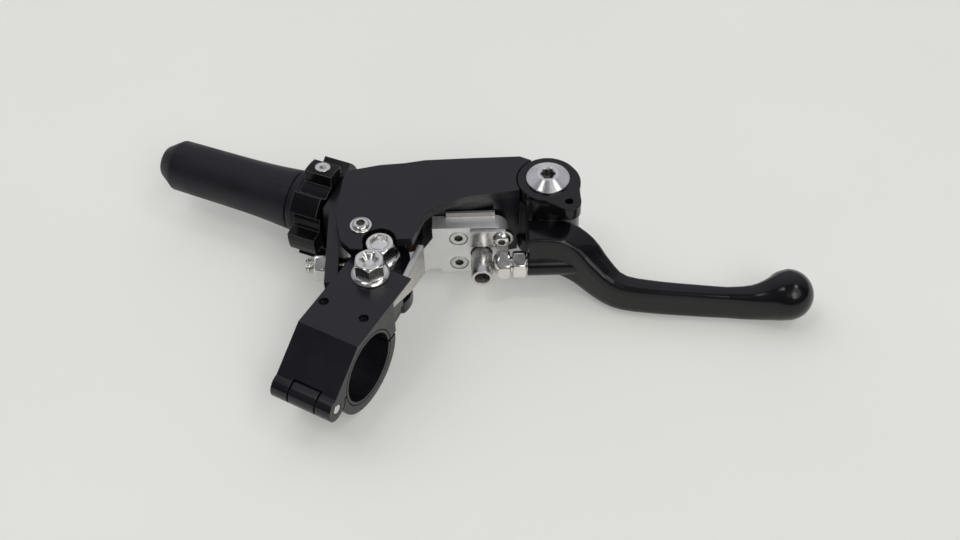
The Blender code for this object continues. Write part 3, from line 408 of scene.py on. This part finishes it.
# Free-play stop: a threaded pin through the perch's left wall, locked by a nut on a washer, all
# bright zinc plated. Its thread stands out past the nut.
STOP_AT = (-19.389, 27.387, 2.0)
ALONG_LEVER = ((0.5, -0.866025, 0.0), (0.0, 0.0, 1.0), (-0.866025, -0.5, 0.0))
PIN_RADIUS = 2.5
PIN_LOW = -7.5
PIN_HIGH = 7.6
PIN_ROWS = 152
PIN_THREAD = (1.0, 0.5, 4.9, 7.3)
pin_heights = np.linspace(PIN_LOW, PIN_HIGH, PIN_ROWS)
pin_ends = np.minimum(2.05 + (pin_heights - PIN_LOW), 1.95 + (PIN_HIGH - pin_heights))
pin_rows = round_rows([(0.0, PIN_LOW)])
pin_rows += round_rows(zip(np.minimum(PIN_RADIUS, pin_ends), pin_heights))
pin_rows += round_rows([(1.1, PIN_HIGH), (1.0, 7.0), (0.0, 6.9)])
pin_grid = turned(pin_rows, STOP_AT, ALONG_LEVER, thread=PIN_THREAD)
stop_pin = skin("stop_screw_turned", pin_grid, bright_zinc, 50.0)
seat(stop_pin, "perch", "plated_steel", "stop_screw")
stop_nut_rows = hexagon_nut(flat=4.0, bore=2.8, low=1.0, high=4.8)
stop_nut = skin("stop_nut_turned", turned(stop_nut_rows, STOP_AT, ALONG_LEVER), bright_zinc)
seat(stop_nut, "perch", "plated_steel", "stop_nut")
dress(bright_zinc, "stop_washer")

# Star wheel: black aluminium nut that is turned by its square teeth to take up cable slack, with
# a small screw set into one tooth, and the threaded steel barrel that it draws in and out.
TOOTH_AT = (-35.435, 50.37, 17.84)
TOOTH_OUT = ((-0.1018, 0.985, -0.1392), (-0.9947, -0.1028, 0.0), (-0.0143, 0.1384, 0.9903))


def hexagon_socket(flat, mouth, floor, point):
    """Rows of a hexagon socket from its mouth down to its pointed floor."""
    return [(0.0, mouth, flat, SOCKET), (0.0, floor, flat, SOCKET), (0.0, point, 0.0, ROUND)]


# The star wheel's edges are painted far paler than its black faces: a painted highlight along the
# rounded edges of its teeth.
wheel_black = anodised_black(
    "wheel_black", dark=(0.0040, 0.0040, 0.0050), pale=(0.0070, 0.0070, 0.0084), roughness=0.18,
    edge=0.0004, shine=0.2, worn_and_lit=(0.17, 0.17, 0.175))
dress(wheel_black, "star_wheel")
tooth_rows = round_rows([
    (0.0, -3.7), (2.0, -3.7), (2.0, 0.02), (2.45, 0.02), (2.5, 0.12), (2.42, 0.3), (2.2, 0.4),
    (1.4, 0.4)])
tooth_rows += hexagon_socket(flat=0.9, mouth=0.25, floor=-1.2, point=-1.4)
tooth_grid = turned(tooth_rows, TOOTH_AT, TOOTH_OUT, sides=48)
tooth_screw = skin("wheel_screw_turned", tooth_grid, bright_zinc)
seat(tooth_screw, "wheel", "plated_steel", "wheel_screw")
dress(bright_zinc, "adjuster_barrel")

# Boot: a moulded black rubber sleeve over the adjuster's barrel. It flares to a rolled lip at
# the wheel, tapers back to a chamfered nose with the cable's hole, and shows two mould seams.
CABLE_AT = (-35.2, 48.1, 1.6)
ALONG_CABLE = ((0.1028, -0.9947, 0.0), (0.0, 0.0, 1.0), (-0.9947, -0.1028, 0.0))
BOOT_SIDES = 240
BOOT_LIP_END = 9.0
BOOT_HOLE_SIDE = 6.0
SEAM_RISE = 0.012
SEAM_TURN = 0.35
SEAM_WIDTH = 0.025
BOOT_OUTLINE = [
    (4.3, 5.7), (9.4, 5.7), (10.0, 5.9), (10.35, 6.5), (10.4, 7.2), (10.4, 8.4), (10.25, 8.9),
    (9.45, 9.2), (9.4, 9.5), (9.9, 9.9), (9.95, 10.6), (9.72, 13.0), (9.38, 17.0), (9.08, 22.0),
    (8.9, 27.0), (8.78, 33.0), (8.69, 40.0), (8.6, 48.0), (8.53, 53.7), (8.4, 54.15),
    (5.35, 58.85), (5.1, 59.1), (4.8, 59.2), (3.1, 59.2), (2.7, 59.0), (2.6, 58.6), (2.6, 30.2),
    (4.3, 30.2), (4.3, 5.7)]


def moulded_rubber(name, dark, pale, roughness):
    """Matte rubber: fine mould grain and a dusty bloom."""
    finish, tree, shader, place = blank(name, dark, roughness, 0.0)
    shader.inputs["Specular IOR Level"].default_value = 0.40
    bloom = speckle(tree, place, scale=110.0, detail=5.0)
    link(tree, tint(tree, bloom, dark, pale), "Color", shader, "Base Color")
    gloss = spread(tree, bloom, "Fac", roughness - 0.05, roughness + 0.07)
    link(tree, gloss, "Result", shader, "Roughness")
    grain_bump(tree, shader, speckle(tree, place, scale=1900.0), strength=0.25, depth=0.00005)
    return finish


def seamed_boot():
    """The boot as a grid: its outline spun about the cable, with two seams raised outside.

    The radius is multiplied by 1 + rise * exp(-(a / width)^2), where a is the angle from the
    nearer seam, on rows past the lip and wider than the cable's hole.
    """
    rows = np.array(round_rows(BOOT_OUTLINE))
    grid = turned(rows, (0.0, 0.0, 0.0), UPRIGHT, sides=BOOT_SIDES) / MM
    angle = np.arange(BOOT_SIDES) * 2.0 * np.pi / BOOT_SIDES
    off_seam = np.mod(angle + SEAM_TURN, np.pi) - 0.5 * np.pi
    seam = 1.0 + SEAM_RISE * np.exp(-(off_seam / SEAM_WIDTH) ** 2)
    outside = ((rows[:, 0] > BOOT_HOLE_SIDE) & (rows[:, 1] > BOOT_LIP_END))[:, None]
    grid[:, :, :2] *= np.where(outside, seam, 1.0)[:, :, None]
    return (np.array(CABLE_AT) + grid @ np.array(ALONG_CABLE)) * MM


boot_rubber = moulded_rubber(
    "boot_rubber", dark=(0.0064, 0.0062, 0.0112), pale=(0.0102, 0.0098, 0.0174), roughness=0.52)
boot = skin("rubber_boot", seamed_boot(), boot_rubber, 28.0)
seat(boot, "adjuster", "black_rubber", "boot")

# Swinging arm: one machined aluminium piece with a flat top plate, anodised in the same black,
# and milled open in a scallop beside the pivot bolt's head. A pan-headed screw closes the plate;
# the pivot bush inside is bearing bronze, and the cable's trunnion is bronze coloured near black.
SWING_TURN = np.array(((0.866025, 0.5, 0.0), (-0.5, 0.866025, 0.0), (0.0, 0.0, 1.0)))
SCALLOP = [(-4.9, -9.0), (12.0, -9.0), (12.0, 0.4), (5.2, 0.4), (-4.9, -1.2)]
SCALLOP_LOW = 14.0
SCALLOP_HIGH = 18.0
ARM_SHARP = 30.0
ARM_SCREW_AT = (-11.223, 34.643, 17.4)


def arm_prism(outline, low, high):
    """A closed prism in the arm's frame: a middle below, the outline twice, a middle above."""
    ends = [np.column_stack([outline, np.full(len(outline), level)]) for level in (low, high)]
    ends = (np.array(PIVOT_AT) + np.stack(ends) @ SWING_TURN) * MM
    middles = np.repeat(ends.mean(axis=1, keepdims=True), len(outline), axis=1)
    return np.concatenate([middles[:1], ends, middles[1:]])


def merged_copy(source, name):
    """A CAD mesh made again from its points and triangles alone, with equal points merged."""
    points = np.empty(len(source.vertices) * 3)
    corners = np.empty(len(source.loops), dtype=int)
    source.vertices.foreach_get("co", points)
    source.loops.foreach_get("vertex_index", corners)
    mesh = bpy.data.meshes.new(name)
    mesh.from_pydata(points.reshape(-1, 3).tolist(), [], corners.reshape(-1, 3).tolist())
    work = bmesh.new()
    work.from_mesh(mesh)
    bmesh.ops.remove_doubles(work, verts=work.verts, dist=1e-6)
    work.to_mesh(mesh)
    work.free()
    return mesh


def cut_open(piece, cutter, finish, sharp):
    """Takes the cutter's room out of the piece, drops the cutter and finishes what is left."""
    notch = piece.modifiers.new("scallop", "BOOLEAN")
    notch.operation = "DIFFERENCE"
    notch.solver = "EXACT"
    notch.object = cutter
    bpy.context.view_layer.update()
    done = piece.evaluated_get(bpy.context.evaluated_depsgraph_get())
    mesh = bpy.data.meshes.new_from_object(done)
    piece.modifiers.clear()
    piece.data = mesh
    bpy.data.objects.remove(cutter)
    mesh.materials.clear()
    mesh.materials.append(finish)
    mesh.shade_smooth()
    mesh.set_sharp_from_angle(angle=math.radians(sharp))


arm_black = anodised_black(
    "arm_black", dark=(0.0054, 0.0052, 0.0082), pale=(0.0086, 0.0083, 0.0122), roughness=0.26,
    edge=0.0004, shine=0.44, worn_and_lit=(0.011, 0.011, 0.014))
scallop_cutter = skin("scallop_cutter", arm_prism(SCALLOP, SCALLOP_LOW, SCALLOP_HIGH), arm_black)
arm_mesh = merged_copy(nodes["swing_arm"].data, "swing_arm_scalloped")
arm = bpy.data.objects.new("swing_arm_scalloped", arm_mesh)
bpy.context.scene.collection.objects.link(arm)
cut_open(arm, scallop_cutter, arm_black, ARM_SHARP)
seat(arm, "arm", "black_anodised", "swing_arm")
pan_rows = round_rows([
    (0.0, -2.8), (1.5, -2.8), (1.5, 0.0), (3.3, 0.0), (3.4, 0.1), (3.4, 0.35), (3.25, 0.5),
    (2.75, 0.5), (2.7, 0.55), (2.7, 0.8), (2.55, 1.1), (2.2, 1.35), (1.75, 1.5), (1.5, 1.52),
    (1.4, 1.46)])
pan_rows += hexagon_socket(flat=1.15, mouth=1.36, floor=0.6, point=0.45)
pan_grid = turned(pan_rows, ARM_SCREW_AT, UPRIGHT, 12.0)
arm_screw = skin("arm_screw_turned", pan_grid, bright_zinc, rows=pan_rows)
seat(arm_screw, "arm", "plated_steel", "arm_screw")
bearing_bronze = zinc_plate(
    "bearing_bronze", pale=(0.150, 0.098, 0.045), dark=(0.105, 0.070, 0.034), roughness=0.42)
dress(bearing_bronze, "pivot_bush")
# The trunnion's bronze is set near black.
near_black_bronze = zinc_plate(
    "near_black_bronze", pale=(0.030, 0.022, 0.015), dark=(0.018, 0.014, 0.010), roughness=0.45)
dress(near_black_bronze, "cable_trunnion")

# Knuckle plate: bare aluminium plate whose colour turns darker above a height along its top,
# screwed to the arm's front by two countersunk screws, with a bracket under a button-headed
# screw. The tube that the reach screw bears on is pressed through it and polished.
PLATE_AT = np.array((-8.95, 42.306, 0.0))
OUT_OF_PLATE = np.array(((0.866025, 0.5, 0.0), (0.0, 0.0, 1.0), (0.5, -0.866025, 0.0)))
LIP_FROM = 0.0091
LIP_SHADE = (0.42, 0.40, 0.375)
ALONG_PLATE = (0.1, 1.0, 1.0)


def on_plate(across, height):
    """The point of the plate's face at a distance across and a height."""
    return PLATE_AT + np.array((across, height, 0.0)) @ OUT_OF_PLATE


# Above LIP_FROM the plate's colour is painted darker.
plate_bare = bare_aluminium(
    "plate_bare", pale=(0.88, 0.88, 0.89), dark=(0.82, 0.82, 0.83), roughness=0.38,
    stretch=ALONG_PLATE, metallic=0.75, lip=(LIP_FROM, LIP_SHADE))
dress(plate_bare, "knuckle_plate")
bracket_bare = bare_aluminium(
    "bracket_bare", pale=(0.70, 0.70, 0.70), dark=(0.62, 0.62, 0.62), roughness=0.20,
    stretch=ALONG_PLATE)
dress(bracket_bare, "post_bracket")
sink_rows = round_rows([
    (0.0, -11.3), (1.5, -11.3), (1.5, -2.1), (2.62, -0.85), (2.7, -0.7), (2.7, -0.48),
    (2.62, -0.4), (1.45, -0.4)])
sink_rows += hexagon_socket(flat=1.2, mouth=-0.5, floor=-1.5, point=-1.7)
screw_satin = zinc_plate(
    "screw_satin", pale=(0.70, 0.70, 0.69), dark=(0.62, 0.62, 0.61), roughness=0.24)
high_grid = turned(sink_rows, on_plate(23.8, 4.2), OUT_OF_PLATE)
high_screw = skin("plate_screw_high_turned", high_grid, screw_satin, rows=sink_rows)
seat(high_screw, "arm", "plated_steel", "plate_screw_high")
low_grid = turned(sink_rows, on_plate(23.8, -7.0), OUT_OF_PLATE, 18.0)
low_screw = skin("plate_screw_low_turned", low_grid, screw_satin, rows=sink_rows)
seat(low_screw, "arm", "plated_steel", "plate_screw_low")
button_rows = round_rows([
    (0.0, -4.6), (1.5, -4.6), (1.5, 1.4), (2.8, 1.4), (2.9, 1.55), (2.87, 1.85), (2.7, 2.25),
    (2.35, 2.65), (1.9, 2.95), (1.5, 3.1), (1.3, 3.1)])
button_rows += hexagon_socket(flat=1.05, mouth=3.0, floor=2.2, point=2.0)
button_grid = turned(button_rows, on_plate(37.4, 5.5), OUT_OF_PLATE, 20.0)
button = skin("bracket_screw_turned", button_grid, bright_zinc, rows=button_rows)
seat(button, "arm", "plated_steel", "bracket_screw")
tube_rows = round_rows([
    (0.0, -2.7), (3.0, -2.7), (3.2, -2.5), (3.2, 1.6), (3.45, 2.0), (3.45, 10.4), (3.36, 10.62),
    (3.16, 10.7), (2.62, 10.7), (2.45, 10.62), (2.36, 10.4), (2.36, 2.1), (0.0, 2.0)])
polished_steel = zinc_plate(
    "polished_steel", pale=(0.66, 0.65, 0.64), dark=(0.60, 0.59, 0.58), roughness=0.27,
    edge=0.0001)
tube_grid = turned(tube_rows, on_plate(31.0, -2.6), OUT_OF_PLATE)
post = skin("stop_post_tube", tube_grid, polished_steel)
seat(post, "arm", "plated_steel", "stop_post")

# Blade: forged aluminium finger lever, polished before it is anodised black. It folds on the
# bolt at the arm's end. Its ball end is one smooth skin over the solid's end, with a soft fillet
# from the flat blade into the ball.
BALL_AT = (126.4, -5.7, -6.1)
BALL_RADIUS = 8.1
BALL_ROWS = 40
BALL_SIDES = 96
# Each row of the neck: distance along, middle across, half width, low, high and softness.
NECK = np.array([
    (103.0, -5.7, 2.5, -13.7, -3.6, 0.60), (108.0, -6.2, 3.05, -14.25, -3.02, 0.58),
    (112.0, -6.45, 3.35, -14.40, -2.85, 0.60), (115.0, -6.55, 3.85, -14.40, -2.50, 0.66),
    (117.0, -6.5, 4.40, -14.40, -1.95, 0.73), (119.0, -6.4, 5.15, -14.40, -1.10, 0.80),
    (120.5, -6.28, 5.80, -14.36, -0.20, 0.86), (122.0, -6.15, 6.55, -14.32, 0.70, 0.92),
    (124.0, -5.95, 7.55, -14.26, 1.55, 0.97), (126.4, -5.7, 8.1, -14.2, 2.0, 1.0)])


def ball_end():
    """The blade's end as a grid: superellipse sections along the lever, then half a ball.

    Each section is out = width * cos|cos|^(soft - 1), rise = half height * sin|sin|^(soft - 1)
    about its own middle; past the ball's centre the width is sqrt(radius^2 - distance^2).
    """
    share = np.linspace(0.0, 1.0, BALL_ROWS)
    along = NECK[0, 0] + share * (NECK[-1, 0] - NECK[0, 0])
    across, width, low, high, soft = (
        np.interp(along, NECK[:, 0], NECK[:, column]) for column in range(1, 6))
    cap = np.linspace(0.0, np.pi / 2.0, BALL_ROWS)[1:]
    along = np.concatenate([along[:1], along, BALL_AT[0] + BALL_RADIUS * np.sin(cap)])[:, None]
    across = np.concatenate([across[:1], across, np.full(len(cap), BALL_AT[1])])[:, None]
    width = np.concatenate([[0.0], width, BALL_RADIUS * np.cos(cap)])[:, None]
    half = np.concatenate([[0.0], 0.5 * (high - low), BALL_RADIUS * np.cos(cap)])[:, None]
    middle = 0.5 * (high + low)
    middle = np.concatenate([middle[:1], middle, np.full(len(cap), BALL_AT[2])])[:, None]
    soft = np.concatenate([soft[:1], soft, np.ones(len(cap))])[:, None]
    angle = np.arange(BALL_SIDES) * 2.0 * np.pi / BALL_SIDES
    out = np.sign(np.cos(angle)) * np.abs(np.cos(angle)) ** soft * width
    rise = np.sign(np.sin(angle)) * np.abs(np.sin(angle)) ** soft * half
    local = np.stack([along + 0.0 * out, across + out, middle + rise], axis=-1)
    return (np.array(PIVOT_AT) + local @ SWING_TURN) * MM


blade_black = anodised_black(
    "blade_black", dark=(0.0035, 0.0035, 0.0045), pale=(0.0060, 0.0060, 0.0075), roughness=0.17,
    edge=0.0006, shine=0.38, worn_and_lit=(0.008, 0.008, 0.010))
dress(blade_black, "blade")
ball = skin("blade_ball_end", ball_end(), blade_black, 60.0)
seat(ball, "blade", "black_anodised")

# Fold bolt: stainless pivot of the blade with a turned cone for a head and a lobed socket in it.
# Its nut is under the lower ear; the bush and the spring that holds the blade out are on it.
FOLD_AT = (30.116, 79.641, 0.0)
LEVER_TURN = 30.0
RADIAL_SHINE = 0.25


def lathe_turned(name, pale, dark, roughness, middle):
    """Stainless steel from the lathe: rings of tool marks round the axis, a radial shine, and
    painted shade in its socket.
    """
    finish, tree, shader, place = blank(name, pale, roughness, 1.0)
    shader.inputs["Anisotropic"].default_value = 0.85
    shader.inputs["Anisotropic Rotation"].default_value = RADIAL_SHINE
    shift = tree.nodes.new("ShaderNodeMapping")
    shift.inputs["Location"].default_value = [-MM * value for value in middle]
    link(tree, place, "Object", shift, "Vector")
    rings = tree.nodes.new("ShaderNodeTexWave")
    rings.wave_type = "RINGS"
    rings.rings_direction = "Z"
    rings.inputs["Scale"].default_value = 900.0
    rings.inputs["Distortion"].default_value = 0.4
    link(tree, shift, "Vector", rings, "Vector")
    ramp = tint(tree, speckle(tree, place, scale=350.0), dark, pale)
    gloss = spread(tree, rings, "Fac", roughness - 0.04, roughness + 0.05, 0.0, 1.0)
    paint_recess_shade(tree, shader, ramp, gloss)
    grain_bump(tree, shader, rings, strength=0.08, depth=0.00002, soft=rounded_edges(tree, 0.0002))
    return finish


cone_rows = round_rows([
    (0.0, -13.5), (2.6, -13.5), (3.0, -13.1), (3.0, 17.4), (6.7, 17.4), (6.9, 17.55),
    (6.9, 17.95), (6.78, 18.2), (3.55, 19.88), (3.35, 19.97), (3.15, 20.0), (2.6, 20.0),
    (2.45, 19.92)])
cone_rows += [(0.0, 19.7, 2.0, LOBED), (0.0, 17.2, 2.0, LOBED), (0.0, 16.9, 1.5, LOBED)]
cone_rows += round_rows([(0.0, 16.6)])
cone_steel = lathe_turned(
    "cone_steel", pale=(0.86, 0.855, 0.85), dark=(0.80, 0.795, 0.79), roughness=0.26,
    middle=FOLD_AT)
cone_grid = turned(cone_rows, FOLD_AT, UPRIGHT, LEVER_TURN)
fold_bolt = skin("fold_bolt_turned", cone_grid, cone_steel, rows=cone_rows)
seat(fold_bolt, "arm", "plated_steel", "fold_bolt")
fold_nut_rows = hexagon_nut(flat=5.0, bore=3.3, low=-13.0, high=-9.0)
fold_nut_grid = turned(fold_nut_rows, FOLD_AT, UPRIGHT, LEVER_TURN)
fold_nut = skin("fold_nut_turned", fold_nut_grid, bright_zinc)
seat(fold_nut, "arm", "plated_steel", "fold_nut")
dress(bright_zinc, "fold_spring")
dress(bearing_bronze, "fold_bush")

# Reach adjuster: a dome-headed hexagon screw that bears on the tube and sets how far the blade
# stands from the bar, with its lock nut against the blade. Bright zinc plated steel.
REACH_AT = (32.868, 60.676, -2.6)
REACH_FLAT = 4.0
dome_rows = round_rows([(0.0, -7.0), (2.1, -7.0), (2.5, -6.5), (2.5, 5.4)])
dome_rows += [(r, h, REACH_FLAT, PRISM) for r, h in ((3.75, 5.4), (4.15, 5.55), (4.65, 5.9))]
dome_rows += quarter_turn(0.9, 4.66, 7.5, 10.9, REACH_FLAT, 14)
dome_rows += round_rows([(0.0, 10.9)])
reach_screw = skin("reach_screw_turned", turned(dome_rows, REACH_AT, ALONG_LEVER), bright_zinc)
seat(reach_screw, "reach", "plated_steel", "reach_screw")
reach_nut_rows = hexagon_nut(flat=REACH_FLAT, bore=2.8, low=0.3, high=4.7)
reach_nut_grid = turned(reach_nut_rows, REACH_AT, ALONG_LEVER, 10.0)
reach_nut = skin("reach_nut_turned", reach_nut_grid, bright_zinc)
seat(reach_nut, "blade", "plated_steel", "reach_nut")

# Studio: a pale lit table under the part, broad lamps to its left, right and front, two small
# ones overhead for the glints, a sky that is dark overhead, and the camera at the photograph's
# place.
TABLE_Z = -0.0158
TABLE_HALF = 8.0
TABLE_GLOW = 0.30
LAMP_COLOUR = (1.0, 0.975, 0.925)
LAMP_AIM = (0.0, 0.04, 0.0)
SKY_COLOUR = (0.91, 0.925, 1.0, 1.0)
SKY_AT_HORIZON = 0.25
FAR_SIDE = (-0.5, 0.866025, 0.0)
NEAR_GREY = 0.26
SKY_GREYS = ((0.36, 0.24), (0.5, 0.10), (0.64, 0.60))
EYE = Vector((0.16904, -0.20528, 0.32659))
LOOK = Vector((-0.33457, 0.57948, -0.743145)).normalized()
LEVEL = Vector((0.866025, 0.5, 0.0))
ROLL = math.radians(-1.5)
LENS = 52.5

corner = np.array([[-1.0, -1.0], [1.0, -1.0], [1.0, 1.0], [-1.0, 1.0]]) * TABLE_HALF
table_mesh = bpy.data.meshes.new("table")
table_points = np.column_stack([corner, np.full(4, TABLE_Z)])
table_mesh.from_pydata(table_points.tolist(), [], [(0, 1, 2, 3)])
table = bpy.data.objects.new("table", table_mesh)
bpy.context.scene.collection.objects.link(table)
table_pale, table_tree, table_shader, table_place = blank(
    "table_pale", (0.72, 0.72, 0.70), 0.6, 0.0)
table_shader.inputs["Specular IOR Level"].default_value = 0.2
table_shader.inputs["Emission Strength"].default_value = TABLE_GLOW
table_ramp = tint(
    table_tree, speckle(table_tree, table_place, scale=6.0), dark=(0.715, 0.718, 0.688),
    pale=(0.735, 0.738, 0.708))
link(table_tree, table_ramp, "Color", table_shader, "Base Color")
link(table_tree, table_ramp, "Color", table_shader, "Emission Color")
table_mesh.materials.append(table_pale)


def soft_lamp(name, place, size, power, mirrored=True):
    """A round area lamp that faces the part, and shows in glossy surfaces or not."""
    data = bpy.data.lights.new(name, "AREA")
    data.shape = "DISK"
    data.size = size
    data.energy = power
    data.color = LAMP_COLOUR
    lamp = bpy.data.objects.new(name, data)
    bpy.context.scene.collection.objects.link(lamp)
    lamp.location = place
    lamp.rotation_euler = (Vector(LAMP_AIM) - Vector(place)).to_track_quat("-Z", "Y").to_euler()
    lamp.visible_glossy = mirrored


soft_lamp("key", (-2.55, -0.15, 3.6), size=3.9, power=34.0, mirrored=False)
soft_lamp("fill", (2.7, -0.9, 3.0), size=3.3, power=28.0)
soft_lamp("front", (2.35, -1.7, 2.6), size=2.0, power=24.0)
soft_lamp("left_spark", (-0.8, -1.05, 3.25), size=0.8, power=8.0)
soft_lamp("right_spark", (1.58, 0.7, 3.05), size=0.8, power=8.0)

world = bpy.data.worlds.new("studio")
world.use_nodes = True
bpy.context.scene.world = world
air = world.node_tree
sky = air.nodes["Background"]
sky.inputs["Color"].default_value = SKY_COLOUR
way_out = air.nodes.new("ShaderNodeTexCoord")
split = air.nodes.new("ShaderNodeSeparateXYZ")
link(air, way_out, "Generated", split, "Vector")
lift = spread(air, split, "Z", SKY_AT_HORIZON, 1.0, 0.0, 1.0)
ahead = air.nodes.new("ShaderNodeVectorMath")
ahead.operation = "DOT_PRODUCT"
link(air, way_out, "Generated", ahead, 0)
ahead.inputs[1].default_value = FAR_SIDE
facing = spread(air, ahead, "Value", 0.0, 1.0, -1.0, 1.0)
greys = air.nodes.new("ShaderNodeValToRGB")
greys.color_ramp.interpolation = "EASE"
for spot, grey in SKY_GREYS:
    greys.color_ramp.elements.new(spot).color = (grey, grey, grey, 1.0)
greys.color_ramp.elements[0].color = (NEAR_GREY, NEAR_GREY, NEAR_GREY, 1.0)
link(air, facing, "Result", greys, "Fac")
glow = air.nodes.new("ShaderNodeMath")
glow.operation = "MULTIPLY"
link(air, lift, "Result", glow, 0)
link(air, greys, "Color", glow, 1)
link(air, glow, "Value", sky, "Strength")

above = LEVEL.cross(LOOK)
right = LEVEL * math.cos(ROLL) + above * math.sin(ROLL)
up = above * math.cos(ROLL) - LEVEL * math.sin(ROLL)
camera_data = bpy.data.cameras.new("camera")
camera_data.lens = LENS
camera_data.sensor_width = 36.0
camera_data.clip_start = 0.01
camera = bpy.data.objects.new("camera", camera_data)
bpy.context.scene.collection.objects.link(camera)
camera.matrix_world = Matrix.Translation(EYE) @ Matrix((right, up, -LOOK)).transposed().to_4x4()
bpy.context.scene.camera = camera
bpy.context.scene.view_settings.view_transform = "Standard"
